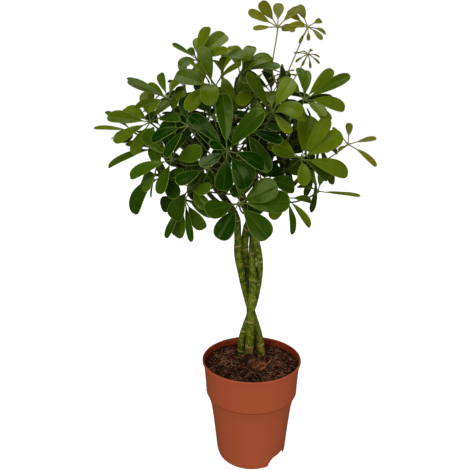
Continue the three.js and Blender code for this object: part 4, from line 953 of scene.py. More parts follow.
def pot_surface():
    """Terracotta-coloured plastic: nearly even, with faint clouds, a satin sheen, a painted shadow line
    under the band's edge, and an inside darkened with painted shade, with a few specks of soil dust."""
    made, tree, shader = material("terracotta_plastic", roughness=0.4, specular=0.25)
    where = place(tree)
    cloud = noise(tree, where, scale=9.0, detail=4.0)
    base = mix(tree, cloud, paint("pot"), paint("pot_cloud"))
    # Painted shadow: a thin darker line just under the band's edge, where its ledge shades the wall
    above_band_shadow = math_node(tree, "SUBTRACT", part_of(tree, where, "Z"), BAND_SHADOW_HEIGHT)
    off_band_shadow = math_node(tree, "ABSOLUTE", above_band_shadow)
    line = times(tree, fade(tree, off_band_shadow, 0.0005, 0.0024), 0.45)
    base = mix(tree, line, base, paint("painted_band_shadow"))
    # Painted shade: the pot's inside above the soil is darker and redder
    inside = mark(tree, "inside")
    base = mix(tree, inside, base, paint("painted_pot_inside_shade"))
    specks = fade(tree, noise(tree, where, scale=260.0, detail=4.0), 0.4, 0.46)
    base = mix(tree, times(tree, specks, inside), base, paint("soil_dust"))
    grain = noise(tree, where, scale=700.0, detail=2.0)
    finish_material(tree, shader, base, bump(tree, grain, distance=0.0001, strength=0.25))
    return made


def peat_surface():
    """Dark moist peat: near-black to red-brown crumbs, and a lighter ball of roots before the stems."""
    made, tree, shader = material("peat", roughness=0.85, specular=0.12)
    where = place(tree)
    crumb = noise(tree, where, scale=170.0, detail=6.0, roughness=0.7)
    cloud = noise(tree, where, scale=45.0, detail=3.0)
    base = mix(tree, fade(tree, crumb, 0.58, 0.38), paint("peat"), paint("peat_crumb"))
    base = mix(tree, fade(tree, cloud, 0.6, 0.4), base, paint("peat_cloud"))
    away = node(tree, "ShaderNodeVectorMath", {0: where, 1: ROOT_BALL}, operation="DISTANCE")
    near = fade(tree, away.outputs["Value"], 0.012, 0.021)
    base = mix(tree, times(tree, near, fade(tree, crumb, 0.64, 0.44)), base, paint("root_ball"))
    finish_material(tree, shader, base, bump(tree, crumb, distance=0.002, strength=1.0))
    return made


def litter_surface(name, dull, bright, roughness):
    """Fibres or chips, each with its own shade between two colours."""
    made, tree, shader = material(name, roughness, 0.3)
    speck = noise(tree, place(tree), scale=400.0, detail=3.0)
    share = math_node(tree, "MULTIPLY_ADD", speck, 0.4, mark(tree, "shade"))
    base = mix(tree, share, dull, bright)
    finish_material(tree, shader, base, bump(tree, speck, distance=0.0005, strength=0.7))
    return made


def paper_surface():
    """White paper that glows a little, so that it shows as white as the wall behind it."""
    made, _, shader = material("pale_floor", roughness=0.9, specular=0.0)
    shader.inputs["Base Color"].default_value = (0.3, 0.3, 0.3, 1)
    shader.inputs["Emission Color"].default_value = (1, 1, 1, 1)
    shader.inputs["Emission Strength"].default_value = 1.0
    return made


# Pot


def rounded(corners):
    """An outline through corners, each a radius, a height and a rounding. A rounding starts and ends
    that far from the corner, and runs between as a curve whose middle corner is the corner itself."""
    outline = []
    for i, (radius, height, rounding) in enumerate(corners):
        corner = np.array([radius, height], float)
        if rounding == 0:
            outline.append(corner)
            continue
        before = np.array(corners[i - 1][:2], float) - corner
        after = np.array(corners[(i + 1) % len(corners)][:2], float) - corner
        start = corner + before * min(rounding / np.linalg.norm(before), MOST_ROUNDING)
        end = corner + after * min(rounding / np.linalg.norm(after), MOST_ROUNDING)
        for share in np.linspace(0, 1, ROUNDING_STEPS):
            outline.append(start * (1 - share) ** 2 + 2 * corner * share * (1 - share) + end * share**2)
    return np.array(outline)


def arch_lift(turns):
    """How high the foot is lifted at each angle: an arch's full height over its top, less beside it."""
    lift = np.zeros_like(turns)
    for azimuth in ARCH_AZIMUTHS:
        middle = math.radians(azimuth - 90)
        apart = np.abs((turns - middle + math.pi) % FULL - math.pi) * FOOT_INNER_RADIUS
        side = (ARCH_WIDTH / 2 - apart) / ((ARCH_WIDTH - ARCH_TOP_WIDTH) / 2)
        lift += ARCH_HEIGHT * np.sin(np.clip(side, 0, 1) * math.pi / 2) ** ARCH_FULLNESS
    return lift


def pot_turns():
    """The angles of the pot's columns, even all round and closer at the arches."""
    turns = list(even_turns(POT_COLUMNS))
    half = ARCH_SPREAD * ARCH_WIDTH / FOOT_INNER_RADIUS
    for azimuth in ARCH_AZIMUTHS:
        middle = math.radians(azimuth - 90)
        turns += list((middle + np.linspace(-half, half, ARCH_COLUMNS)) % FULL)
    return np.array(sorted(set(turns)))


def pot_form():
    """The outline turned round the axis. Below ARCH_REACH, or below the channel on the foot's inner
    side, the heights are pressed together from below wherever an arch lifts the foot. The mark inside
    is 1 below the lip's inner edge and 0 elsewhere."""
    outline = rounded(POT_OUTSIDE + POT_INSIDE)
    turns = pot_turns()
    radius, height = outline[1:-1, :1], outline[1:-1, 1:]
    lift = arch_lift(turns)[None]
    foot = radius > FOOT_INNER_RADIUS - FOOT_MARGIN
    inner_side = radius < FOOT_INNER_RADIUS + SIDE_MARGIN
    reach = np.where(inner_side, CHANNEL_HEIGHT - CHANNEL_MARGIN, ARCH_REACH)
    lifted = np.where(foot & (height < reach), lift + height * (1 - lift / reach), height)
    rows = about_axis(radius, lifted, turns)
    form = loft(rows)
    to_lip = rounded(POT_OUTSIDE + POT_INSIDE[:1])[1:]
    inside = 1.0 * (np.arange(len(rows)) >= len(to_lip) - 1)
    form["marks"]["inside"] = np.concatenate([np.repeat(inside, len(turns)), [0, 1]])[:, None]
    return form


def drain_cutter():
    """One cutter of many short bars, each through the channel's floor."""
    bars = []
    circle = about_axis(DRAIN_RADIUS, 0, even_turns(DRAIN_SIDES))
    heights = [CHANNEL_HEIGHT - DRAIN_OVERCUT, CHANNEL_HEIGHT + WALL + DRAIN_OVERCUT]
    for i in range(DRAIN_COUNT):
        middle = about_axis(DRAIN_CIRCLE, 0, FULL * (i + 0.5) / DRAIN_COUNT)
        bars.append(loft(np.stack([middle + circle + [0, 0, height] for height in heights])))
    return new_object("drain_cutter", new_mesh("drain_cutter", joined(bars)))


def make_pot():
    """The pot, with its drain holes cut out."""
    pot = add_piece("nursery_pot", pot_form(), [pot_surface()], ["pot"])
    cutter = drain_cutter()
    cut = pot.modifiers.new("drains", "BOOLEAN")
    cut.object = cutter
    cut.operation = "DIFFERENCE"
    cut.solver = "EXACT"
    with bpy.context.temp_override(object=pot):
        bpy.ops.object.modifier_apply(modifier=cut.name)
    bpy.data.objects.remove(cutter)
    pot.data.set_sharp_from_angle(angle=math.radians(SHARP["pot"]))


# Soil


def mound(x, y):
    """The soil's even top: a low mound with two crossed waves, as in the part's source."""
    along, across, sway = LUMP_WAVES
    swayed = np.cos(y / across + LUMP_SWAY * np.sin(x / sway))
    lump = LUMP_HEIGHT * np.sin(x / along + LUMP_PHASE) * swayed
    fall = (SOIL_MOUND - SOIL_EDGE) * np.hypot(x, y) ** 2 / (SOIL_RADIUS - SOIL_INSET) ** 2
    return SOIL_MOUND - fall + lump


def scattered(draw, reach, count=None):
    """Even random places on a disc: the angle round it and the distance from its middle."""
    return draw.uniform(0, FULL, count), reach * np.sqrt(draw.uniform(0, 1, count))


def crumbs(x, y):
    """Crumbs on the soil: waves of many lengths, and round bumps of seeded sizes and places."""
    draw = np.random.default_rng(SEED)
    rough = CRUMB_WAVE_HEIGHT * waves(CRUMB_WAVES, CRUMB_WAVE_LENGTHS, SEED + 1)(x, y)
    turn, away = scattered(draw, SOIL_RADIUS, CRUMBS)
    radius, tall = draw.uniform(*CRUMB_RADII, CRUMBS), draw.uniform(*CRUMB_HEIGHTS, CRUMBS)
    square = (x[..., None] - away * np.cos(turn)) ** 2 + (y[..., None] - away * np.sin(turn)) ** 2
    dome = np.clip(1 - square / radius**2, 0, None) ** CRUMB_FULLNESS
    return rough + (dome * tall * radius * TALLEST_CRUMB).max(axis=-1)


def soil_height(x, y):
    """The soil's top, with its heaps and crumbs. It rises a little towards the pot's wall, and the
    crumbs fade where it meets the wall."""
    away = np.hypot(x, y)
    start, end = SOIL_RISE_SPAN
    heaped = SOIL_RISE * smoothstep(SOIL_RADIUS - start, SOIL_RADIUS - end, away)
    for across, along, radius, tall in HEAPS:
        heaped = heaped + tall * smoothstep(radius, HEAP_TOP * radius, np.hypot(x - across, y - along))
    even = mound(x, y) - SOIL_SINK
    return even + heaped + crumbs(x, y) * smoothstep(SOIL_RADIUS, SOIL_RADIUS - CRUMB_FADE, away)


def soil_form():
    """The top as rings of points out from the middle, then the side and the flat base in the pot."""
    turns = even_turns(SOIL_COLUMNS)
    radii = SOIL_RADIUS * np.linspace(SOIL_FIRST_ROW, 1, SOIL_ROWS) ** SOIL_ROW_POWER
    top = about_axis(radii[:, None], np.zeros((SOIL_ROWS, 1)), turns)
    top[..., 2] = soil_height(top[..., 0], top[..., 1])
    walls = [about_axis(radius, height, turns) for radius, height in SOIL_WALLS]
    return loft(np.concatenate([top, np.array(walls)]))


def fibre_form(draw):
    """One fibre: a thin bar that lies nearly straight on the soil, with its ends a little up."""
    turn, away = scattered(draw, SOIL_RADIUS - FIBRE_MARGIN)
    heading = draw.uniform(0, FULL)
    length = draw.uniform(*FIBRE_LENGTHS) + draw.uniform(0, 1) ** 4 * FIBRE_EXTRA
    curl, lift = draw.uniform(-FIBRE_CURL, FIBRE_CURL), draw.uniform(*FIBRE_LIFTS)
    steps = np.linspace(-0.5, 0.5, FIBRE_POINTS) * length
    directions = heading + curl * steps
    x = away * math.cos(turn) + steps * np.cos(directions)
    y = away * math.sin(turn) + steps * np.sin(directions)
    outside = np.maximum(np.hypot(x, y) / (SOIL_RADIUS - WALL_MARGIN), 1)
    x, y = x / outside, y / outside
    z = soil_height(x, y) + FIBRE_STAND + lift * (2 * steps / length) ** 2
    half_wave = np.sin(np.linspace(FIBRE_END, math.pi - FIBRE_END, FIBRE_POINTS))
    radius = draw.uniform(*FIBRE_RADII) * half_wave[:, None]
    dull = draw.uniform(0, 1) < DULL_FIBRES
    shade = draw.uniform(*FIBRE_SHADES) ** 3 if dull else PALEST
    rows = tube(np.stack([x, y, z], axis=-1), radius, FIBRE_SIDES)
    return loft(rows, marks={"shade": np.array([shade])})


def chip_form(draw, size=None, where=None, shade=None, heading=None):
    """One chip of bark: a flat lump with an uneven outline, tilted, and half sunk in the soil."""
    turn, away = scattered(draw, SOIL_RADIUS - CHIP_MARGIN)
    x, y = where or (away * math.cos(turn), away * math.sin(turn))
    long, wide, thick = size or [draw.uniform(*sizes) for sizes in CHIP_SIZES]
    around = even_turns(CHIP_SIDES)
    uneven = 1 + draw.uniform(-CHIP_UNEVENNESS, CHIP_UNEVENNESS, CHIP_SIDES)
    outline = np.stack([long * np.cos(around), wide * np.sin(around), 0 * around], axis=-1)
    outline = outline * uneven[:, None]
    rows = np.stack([outline * share + [0, 0, height * thick] for height, share in CHIP_LOOPS])
    heading = draw.uniform(0, FULL) if heading is None else math.radians(heading)
    tilt, lean = (draw.uniform(-most, most) for most in CHIP_TILTS)
    across = unit(np.array([math.cos(heading), math.sin(heading), tilt]))
    along = np.array([-math.sin(heading), math.cos(heading), lean])
    along = unit(along - across * along.dot(across))
    axes = np.stack([across, along, np.cross(across, along)])
    ground = float(soil_height(np.array(x), np.array(y)))
    rows = rows @ axes + [x, y, ground + CHIP_RISE * thick]
    own = draw.uniform(0, 1) ** 3 - CHIP_DULLNESS if shade is None else shade
    return loft(rows, marks={"shade": np.array([own])})


def make_soil():
    """The soil, and the fibres and chips that lie on it."""
    add_piece("peat_soil", soil_form(), [peat_surface()], ["soil"])
    draw = np.random.default_rng(SEED + 5)
    fibres = joined([fibre_form(draw) for _ in range(FIBRES)])
    straw = litter_surface("root_fibre", paint("fibre"), paint("pale_fibre"), 0.7)
    add_piece("soil_fibres", fibres, [straw], [])
    chips = [chip_form(draw) for _ in range(CHIPS)]
    chips += [chip_form(draw, *listed) for listed in LISTED_CHIPS]
    bark = litter_surface("bark_chips", paint("chip"), paint("pale_chip"), 0.8)
    add_piece("soil_bark_chips", joined(chips), [bark], [], sharp=SHARP["chips"])


# Stems


def growth(steps):
    """Each stem and shoot as a path with a radius at each step, thinning evenly to its tip."""
    lines = [[name, stem["points"], stem["radii"]] for name, stem in STEMS.items()]
    for name, start, points in SHOOTS:
        lines.append([name, [STEMS[name]["points"][start], *points], SHOOT_RADII])
    grown = []
    for name, points, (thick, thin) in lines:
        path = smooth_path(points, steps)
        grown.append({"stem": name, "path": path, "radii": np.linspace(thick, thin, len(path))})
    return grown


def scar_rings(around, height, scars, number):
    """1 on a leaf scar, fading beside it. A scar dips and is wider to one side, where its leaf sat."""
    rings = np.zeros_like(height)
    for i, level in enumerate(scars):
        leaf_side = np.cos(around - number - SCAR_TURN * i)
        width = SCAR_WIDTH * (1 + SCAR_WIDENING * np.clip(leaf_side, 0, 1))
        rings = np.maximum(rings, np.exp(-(((height - level - SCAR_DIP * leaf_side) / width) ** 2)))
    return rings


def stem_form(line, columns, scars, number):
    """A bar along the line. Its radius swells a little at each scar, carries small ripples and closes
    to a round tip. The mark scar tells where the scars are."""
    path, radii = line["path"], line["radii"]
    around = even_turns(columns)
    height = path[:, 2:3] + 0 * around
    scar = scar_rings(around, height, scars, number)
    share, wave, twist = SHORT_RIPPLE
    ripple = share * np.sin(height / wave + number) * np.cos(2 * around + height / twist)
    share, twist = LONG_RIPPLE
    ripple += share * np.cos(3 * around + height / twist + number)
    radius = radii[:, None] * (1 + ripple) + SCAR_RIDGE * scar
    to_tip = np.clip((len(path) - 1 - np.arange(len(path))) / TIP_STEPS, 0, 1)[:, None]
    radius = radius * np.sqrt(1 - (1 - to_tip) ** 2 * TIP_TAPER)
    return loft(tube(path, radius, columns), marks={"scar": scar[..., None]})


def make_stems():
    """Each stem with its shoots as one piece."""
    bark = bark_surface()
    lines = growth(FINE_STEPS)
    for name, stem in STEMS.items():
        forms = []
        for number, line in enumerate(lines):
            if line["stem"] != name:
                continue
            main = number < len(STEMS)
            columns = STEM_COLUMNS if main else SHOOT_COLUMNS
            scars = stem["scars"] if main else SHOOT_SCARS
            forms.append(stem_form(line, columns, scars, number))
        add_piece(f"green_stem_{name}", joined(forms), [bark], [f"stem_{name}"])


# The layout of the crown, as in the part's source


class Draw:
    """Repeatable random numbers. Each state is the last one times the factor, modulo the range."""

    state = SEED

    def spread(self, amount):
        self.state = self.state * DRAW_FACTOR % DRAW_RANGE
        return (2 * self.state / DRAW_RANGE - 1) * amount


class Room:
    """The crown's room as a grid of cells. A taken cell holds the number of the leaf that took it."""

    def __init__(self):
        self.size = np.floor((ROOM_HIGH - ROOM_LOW) / CELL).astype(int)
        self.cells = np.zeros(self.size.prod(), np.uint8)
        step = np.array([-1, 0, 1])
        rows = (step[:, None, None] * self.size[1] + step[:, None]) * self.size[2] + step
        self.around = rows.ravel()

    def at(self, points):
        cell = np.floor((points - ROOM_LOW) / CELL).astype(int)
        x, y, z = np.clip(cell, 1, self.size - 2).T
        return (x * self.size[1] + y) * self.size[2] + z

    def take(self, points, number):
        """Marks the cells of the points and their neighbours, where they are empty."""
        cells = (self.at(points)[:, None] + self.around).ravel()
        self.cells[cells[self.cells[cells] == 0]] = number

    def free(self, points, number, middle):
        """Whether no point lies in a taken cell. Near the middle, cells with the number are free."""
        taken = self.cells[self.at(points)]
        near = np.linalg.norm(points - middle, axis=-1) < NEAR
        return bool(np.all((taken == 0) | ((taken == number) & near)))


def ring(middle, across, along, radius, sides):
    turns = even_turns(sides)[:, None]
    return middle + radius * (across * np.cos(turns) + along * np.sin(turns))


def place_on(line, piece, share):
    """The middle and the radius of a stem or shoot, at a share of one of its straight pieces."""
    path, radii = line["path"], line["radii"]
    middle = path[piece] + (path[piece + 1] - path[piece]) * share
    return middle, radii[piece] + (radii[piece + 1] - radii[piece]) * share


def skin_points(line):
    """Points all over the skin of a stem or shoot, above the braid."""
    level, forward = np.array([1.0, 0, 0]), np.array([0, 1.0, 0])
    rings = []
    for piece in range(len(line["path"]) - 1):
        for step in range(SKIN_STEPS):
            middle, radius = place_on(line, piece, step / SKIN_STEPS)
            if middle[2] > ROOM_LOW[2]:
                rings.append(ring(middle, level, forward, radius, SKIN_SIDES))
    return np.concatenate(rings)


def facing(azimuth, elevation):
    """The direction with an azimuth from the front towards +X and an elevation above level."""
    a, e = math.radians(azimuth), math.radians(elevation)
    return np.array([math.sin(a) * math.cos(e), -math.cos(a) * math.cos(e), math.sin(e)])


def back_leaves():
    """Rows for the leaves at the sides and the back, a golden angle apart on an egg-shaped shell."""
    rows = []
    for i in range(BACK_COUNT):
        share = (i + 0.5) / BACK_COUNT
        azimuth = (i * GOLDEN_ANGLE + FIRST_AZIMUTH + 180) % 360 - 180
        elevation = ELEVATIONS[0] + (ELEVATIONS[1] - ELEVATIONS[0]) * share
        if abs(azimuth) < FRONT_SECTOR and share < TOP_SHARE:
            continue
        shell = 1 if i % 2 else INNER_SHARE
        hub = CROWN_MIDDLE + shell * np.array(CROWN_HALF) * facing(azimuth, elevation)
        hub[2] = max(hub[2], LOWEST_HUB)
        tilt = min(TILTS[1], max(TILTS[0], elevation + TILT_OVER))
        length = BACK_LENGTH + LENGTH_STEP * (i * LENGTH_CYCLE[0] % LENGTH_CYCLE[1])
        rise = 0 if share < UPPER_SHARE else UPPER_RISE
        kind = "dark" if i % 3 else "light"
        middle = BACK_MIDDLE + i * MIDDLE_CYCLE[0] % MIDDLE_CYCLE[1]
        count = BACK_LEAFLETS + i % 2
        leaflets = [count, BACK_ARC, middle, length, BACK_WIDTH, rise, BACK_BEND]
        rows.append([*hub, azimuth, tilt, kind, leaflets])
    return rows


def even_leaflets(count, arc, middle, length, width, rise, bend):
    """Leaflets spread evenly over an arc, as a list. They get shorter away from the arc's middle."""
    step = arc / (count - 1) if arc < 360 else 360 / count
    first = -arc / 2 if arc < 360 else 0
    turns = [first + i * step for i in range(count)]
    shortened = [SIDE_LENGTH + (1 - SIDE_LENGTH) * math.cos(math.radians(turn)) for turn in turns]
    return [[middle + turn, rise, bend, length * short, width] for turn, short in zip(turns, shortened)]


def spare_leaflets(listed):
    """More leaflets for a leaf with a list of them, in the middle of the widest gaps between them."""
    turns = [wish[0] for wish in listed]
    spares = []
    while len(turns) < FULL_LEAF:
        turns.sort()
        gaps = [turn - turns[i - 1] if i else turn + 360 - turns[-1] for i, turn in enumerate(turns)]
        widest = max(gaps)
        if widest < LEAST_GAP:
            break
        turn = turns[gaps.index(widest)] - widest / 2
        turns.append(turn)
        spares.append([turn, *SPARE_LEAFLET])
    return spares


def from_middle(x, z):
    """How far out a place is as seen from the front: 0 at the crown's middle and 1 on its outline."""
    across = (x - CROWN_MIDDLE[0]) / CROWN_HALF[0]
    above = (z - CROWN_MIDDLE[2]) / CROWN_HALF[2]
    return math.hypot(across, above)


def well_inside(x, z):
    """Whether a hub lies well inside the crown, as seen from the front. The leaves further out or lower
    down stand against the light with all the leaflets that they have."""
    return z > SPARE_FROM and from_middle(x, z) < INNER_REACH


def leaf_from(row):
    """A leaf's frame and sizes. "up" leaves its upper side, "across" is level, and "inner" is how much
    painted shade its undersides and stalks get, for the shade inside the crown."""
    x, y, z, azimuth, elevation, kind, leaflets = row
    listed = isinstance(leaflets[0], list)
    wishes = leaflets if listed else even_leaflets(*leaflets)
    young = kind == "young"
    turn = math.radians(azimuth)
    up = facing(azimuth, elevation)
    across = np.array([math.cos(turn), math.sin(turn), 0])
    longest = max(wish[3] for wish in wishes)
    stalk = (YOUNG_STALK if longest > TINY_LENGTH else TINY_STALK) if young else STALK
    return {
        "kind": kind,
        "hub": np.array([x, y, z], float),
        "up": up,
        "across": across,
        "along": np.cross(up, across),
        "hub_radius": HUB_RADIUS[kind],
        "stalk": stalk,
        "petiole_length": YOUNG_PETIOLE if young else PETIOLE_LENGTH,
        "wishes": wishes,
        "spares": spare_leaflets(leaflets) if listed and not young and well_inside(x, z) else [],
        "leaflets": [],
        "inner": 0,
        "looseness": LISTED_LOOSENESS if listed else 1,
    }


def petiole_corners(seat, leaf):
    """The four corners of the petiole's curve, from the stem's skin to the underside of the hub."""
    span = leaf["hub"] - seat["middle"]
    distance = np.linalg.norm(span)
    out = unit(span - seat["along"] * span.dot(seat["along"]))
    start = seat["middle"] + out * (seat["radius"] + SEAT_GAP)
    leaving = unit(out + seat["along"] * PETIOLE_LEAN)
    arriving = unit(leaf["up"] + span / distance)
    return [
        start,
        start + leaving * PETIOLE_PULLS[0] * distance,
        leaf["hub"] - arriving * PETIOLE_PULLS[1] * distance,
        leaf["hub"] - leaf["up"] * PETIOLE_INSET,
    ]


def finely_spaced(points):
    """Points close together on the straight lines between given points."""
    shares = np.linspace(0, 1, PETIOLE_SAMPLES + 1)[:, None]
    return np.concatenate([a + (b - a) * shares for a, b in zip(points, points[1:])])


def seats_on(lines):
    """Places where a petiole can start, a few on each straight piece of the solids' stems."""
    forks = [line["path"][0] for line in lines]
    seats = []
    for line in lines:
        path = line["path"]
        for piece in range(len(path) - 1):
            along = unit(path[piece + 1] - path[piece])
            for share in SEAT_SHARES:
                middle, radius = place_on(line, piece, share)
                if middle[2] < LOWEST_SEAT:
                    continue
                if any(np.linalg.norm(fork - middle) < FORK_ROOM for fork in forks):
                    continue
                seats.append({"middle": middle, "along": along, "radius": radius, "used": False})
    return seats


def seat_cost(seat, leaf):
    """How ill a seat suits a leaf: how far its distance is from the petiole's length, and more if it
    is above the leaf or on the side that the leaf faces."""
    span = leaf["hub"] - seat["middle"]
    drop = max(0, seat["middle"][2] - leaf["hub"][2] + SEAT_DROP)
    behind = BEHIND_COST if span.dot(leaf["up"]) < 0 else 0
    return abs(np.linalg.norm(span) - leaf["petiole_length"]) + DROP_COST * drop + behind


def seat_leaf(leaf, seats, number, room):
    """Gives the leaf the best seat whose petiole is clear. If none is, its hub moves along its axis."""
    home = leaf["hub"]
    for shift in HUB_SHIFTS:
        leaf["hub"] = home + leaf["up"] * shift
        unused = [seat for seat in seats if not seat["used"]]
        order = sorted(unused, key=lambda seat: seat_cost(seat, leaf))
        rim = ring(leaf["hub"], leaf["across"], leaf["along"], leaf["hub_radius"], RIM_SIDES)
        for seat in order:
            corners = petiole_corners(seat, leaf)
            line = finely_spaced(bezier(corners, np.linspace(0, 1, PETIOLE_SPANS + 1)))
            foot = PETIOLE_SAMPLES // 2
            if not room.free(line[:foot], STEM_MARK, seat["middle"]):
                continue
            if not room.free(np.concatenate([line[foot:], rim]), number, leaf["hub"]):
                continue
            room.take(np.concatenate([line, rim]), number)
            seat["used"] = True
            leaf["petiole"] = corners
            return True
    return False


def leaflet_line(leaf, leaflet, share):
    """Points and side and up directions on a leaflet's middle line, at shares of its length. The line
    is a straight stalk at the pitch angle, and then an arc that turns down by the bend angle over the
    length of the blade."""
    share = np.asarray(share, float)[:, None]
    turn, pitch, bend = leaflet["turn"], leaflet["pitch"], leaflet["bend"]
    roll, length = leaflet["roll"], leaflet["length"]
    out = leaf["across"] * math.cos(turn) + leaf["along"] * math.sin(turn)
    side = leaf["along"] * math.cos(turn) - leaf["across"] * math.sin(turn)
    slope = pitch - bend * share
    distance = leaf["stalk"] * math.cos(pitch) + length / bend * (math.sin(pitch) - np.sin(slope))
    height = leaf["stalk"] * math.sin(pitch) + length / bend * (np.cos(slope) - math.cos(pitch))
    normal = leaf["up"] * np.cos(slope) - out * np.sin(slope)
    point = leaf["hub"] + out * (leaf["hub_radius"] + distance) + leaf["up"] * height
    across = side * math.cos(roll) + normal * math.sin(roll)
    return point, across, normal * math.cos(roll) - side * math.sin(roll)


def leaflet_points(leaf, leaflet):
    """Points all over a leaflet of the solids, and along its stalk."""
    rows, columns = BLADE_SAMPLES
    shares = np.linspace(0, 1, rows)
    point, side, up = (part[:, None] for part in leaflet_line(leaf, leaflet, shares))
    half = (leaflet["width"] / 2 * np.interp(shares, OUTLINE_AT, OUTLINE_WIDTH))[:, None, None]
    across = np.linspace(-1, 1, columns)[None, :, None]
    fold = math.radians(FOLD)
    lift = half * math.sin(fold) * (np.abs(across) - 0.5)
    blade = point + side * half * across * math.cos(fold) + up * lift
    end = leaflet_line(leaf, leaflet, [0])[0][0]
    start = end - unit(end - leaf["hub"]) * leaf["stalk"]
    stalk = start + (end - start) * np.array(STALK_SAMPLES)[:, None]
    return np.concatenate([blade.reshape(-1, 3), stalk])


def variants():
    """The changes to pitch, turn, bend and size that a leaflet tries in turn until it is clear."""
    tries = [(pitch, 0, 0, 1) for pitch in PITCH_TRIES]
    tries += [(pitch, turn, 0, 1) for turn in TURN_TRIES[0] for pitch in TURN_TRIES[1]]
    tries += [(pitch, 0, bend, 1) for bend in BEND_TRIES[0] for pitch in BEND_TRIES[1]]
    return tries + [(pitch, 0, 0, size) for size in SIZE_TRIES[0] for pitch in SIZE_TRIES[1]]


def grow_leaflets(leaf, wishes, number, room, draw):
    """Draws each leaflet's own form, then lays it down in the first variant that is clear. One that is
    clear in none has no room to grow and is left out."""
    loose = leaf["looseness"]
    for direction, rise, arched, wished_length, wished_width in wishes:
        turned = direction + draw.spread(SPREAD["turn"] * loose)
        pitched = rise + draw.spread(SPREAD["pitch"] * loose)
        bent = arched + draw.spread(SPREAD["bend"] * loose)
        rolled = draw.spread(SPREAD["roll"])
        length = wished_length * (1 + draw.spread(SPREAD["length"] * loose))
        width = length * wished_width * (1 + draw.spread(SPREAD["width"]))
        for pitch, turn, bend, size in variants():
            leaflet = {
                "turn": math.radians(turned + turn),
                "pitch": math.radians(pitched + pitch),
                "bend": math.radians(LEAST_BEND if abs(bent + bend) < LEAST_BEND else bent + bend),
                "roll": math.radians(rolled),
                "length": length * size,
                "width": width * size,
            }
            points = leaflet_points(leaf, leaflet)
            if room.free(points, number, leaf["hub"]):
                room.take(points, number)
                leaf["leaflets"].append(leaflet)
                break


def shaded(hub):
    """How much painted shade a leaf at the back gets on its undersides and stalks: 1 behind the crown's
    middle as seen from the front, and 0 from its outline on."""
    return smoothstep(1.0, SHADED_WITHIN, from_middle(hub[0], hub[2]))


def crown():
    """All leaves: first every petiole takes its room, in order, and then every leaflet."""
    lines = growth(STEPS_PER_SPAN)
    room, draw = Room(), Draw()
    for line in lines:
        room.take(skin_points(line), STEM_MARK)
    seats = seats_on(lines)
    leaves = [leaf_from(row) for row in FRONT_LEAVES + back_leaves()]
    # Leaves at the back get painted shade on their undersides and stalks, the more so the further
    # inside the crown's outline they stand
    for leaf in leaves[len(FRONT_LEAVES) :]:
        leaf["inner"] = shaded(leaf["hub"])
    numbered = enumerate(leaves, start=1)
    seated = [(number, leaf) for number, leaf in numbered if seat_leaf(leaf, seats, number, room)]
    for kind in ("wishes", "spares"):
        for number, leaf in seated:
            grow_leaflets(leaf, leaf[kind], number, room, draw)
    return [leaf for _, leaf in seated if len(leaf["leaflets"]) >= FEWEST_LEAFLETS][:MOST_LEAVES]


# Leaves


def outline_half(share):
    """The share of a leaflet's width at shares of its length: a power of the share times a power of
    what is left to the tip, an egg with its broad end outwards."""
    rise, fall = OUTLINE_POWERS
    peak = rise / (rise + fall)
    most = peak**rise * (1 - peak) ** fall
    return share**rise * (1 - share) ** fall / most


def lighter_by_place(hub):
    """How much lighter a dark leaf is tinted than the darkest ones, by its place: most at the lower
    left, and a little all along the crown's lower side."""
    low_left = smoothstep(*LIGHTER_LEFT, hub[0]) * smoothstep(*LIGHTER_LOW, hub[2])
    return LIGHTER_SHARES[0] * low_left + LIGHTER_SHARES[1] * smoothstep(*LIGHTER_BOTTOM, hub[2])


def leaflet_loop():
    """The points of a loop round a leaflet: where each stands across it, as a share of half its width,
    whether it is above, on the edge or below, as 1, 0 or -1, and its angle on a round stalk."""
    rounds = np.array(ACROSS + [0] + [-share for share in ACROSS[::-1]])
    around = np.concatenate([rounds, rounds[-2:0:-1]])
    above = np.concatenate([np.ones(len(rounds)), -np.ones(len(rounds) - 2)])
    above[[0, len(rounds) - 1]] = 0
    return around, above, even_turns(len(around))


def blade_lift(leaf, leaflet, draw, share, half):
    """How high the blade stands off its middle line: its halves rise from the midrib by the fold, and
    its edges roll and ripple a little. half is half its width at each share of its length."""
    around, _, _ = leaflet_loop()
    x = around * half
    spread = draw.uniform(*FOLD_SPREAD) * (YOUNG_FOLD if leaf["kind"] == "young" else 1)
    rise = math.sin(math.radians(FOLD + spread))
    keel = np.sqrt(x**2 + KEEL**2) - KEEL
    roll = draw.uniform(*ROLL_SPREAD) * x**2 / np.maximum(half, 1)
    phases = draw.uniform(0, FULL, 2)
    height = draw.uniform(*RIPPLE_HEIGHTS) * min(1, leaflet["width"] / RIPPLE_FULL_WIDTH)
    phase = np.where(around > 0, phases[0], phases[1])
    ripple = height * np.abs(around) ** 2 * np.sin(share * RIPPLE_WAVE + phase)
    return keel * rise - half * 0.5 * rise * smoothstep(0, FOLD_FROM, share) + roll + ripple


def blade_marks(share, half, length):
    """What the surface of the blade reads at each point: millimetres across from the midrib, along from
    the base, and in from the edge."""
    around, _, _ = leaflet_loop()
    x = around * half
    slope = np.gradient(half[:, 0], share[:, 0] * length)[:, None]
    rim = np.minimum((half - np.abs(x)) / np.sqrt(1 + slope**2), (1 - share) * length)
    rim = np.where(share < EDGE_FROM, CLEAR, rim)
    return np.stack([x, share * length + 0 * x, rim], axis=-1)


def own_tint(leaf, draw):
    """A leaflet's own place between the deep and the fresh colour of its kind."""
    own = draw.uniform(*TINTS)
    if leaf["kind"] == "dark":
        own = DARK_SPREAD * own - DARK_DEPTH + draw.uniform(*LIGHTER_BY) * lighter_by_place(leaf["hub"])
    return own


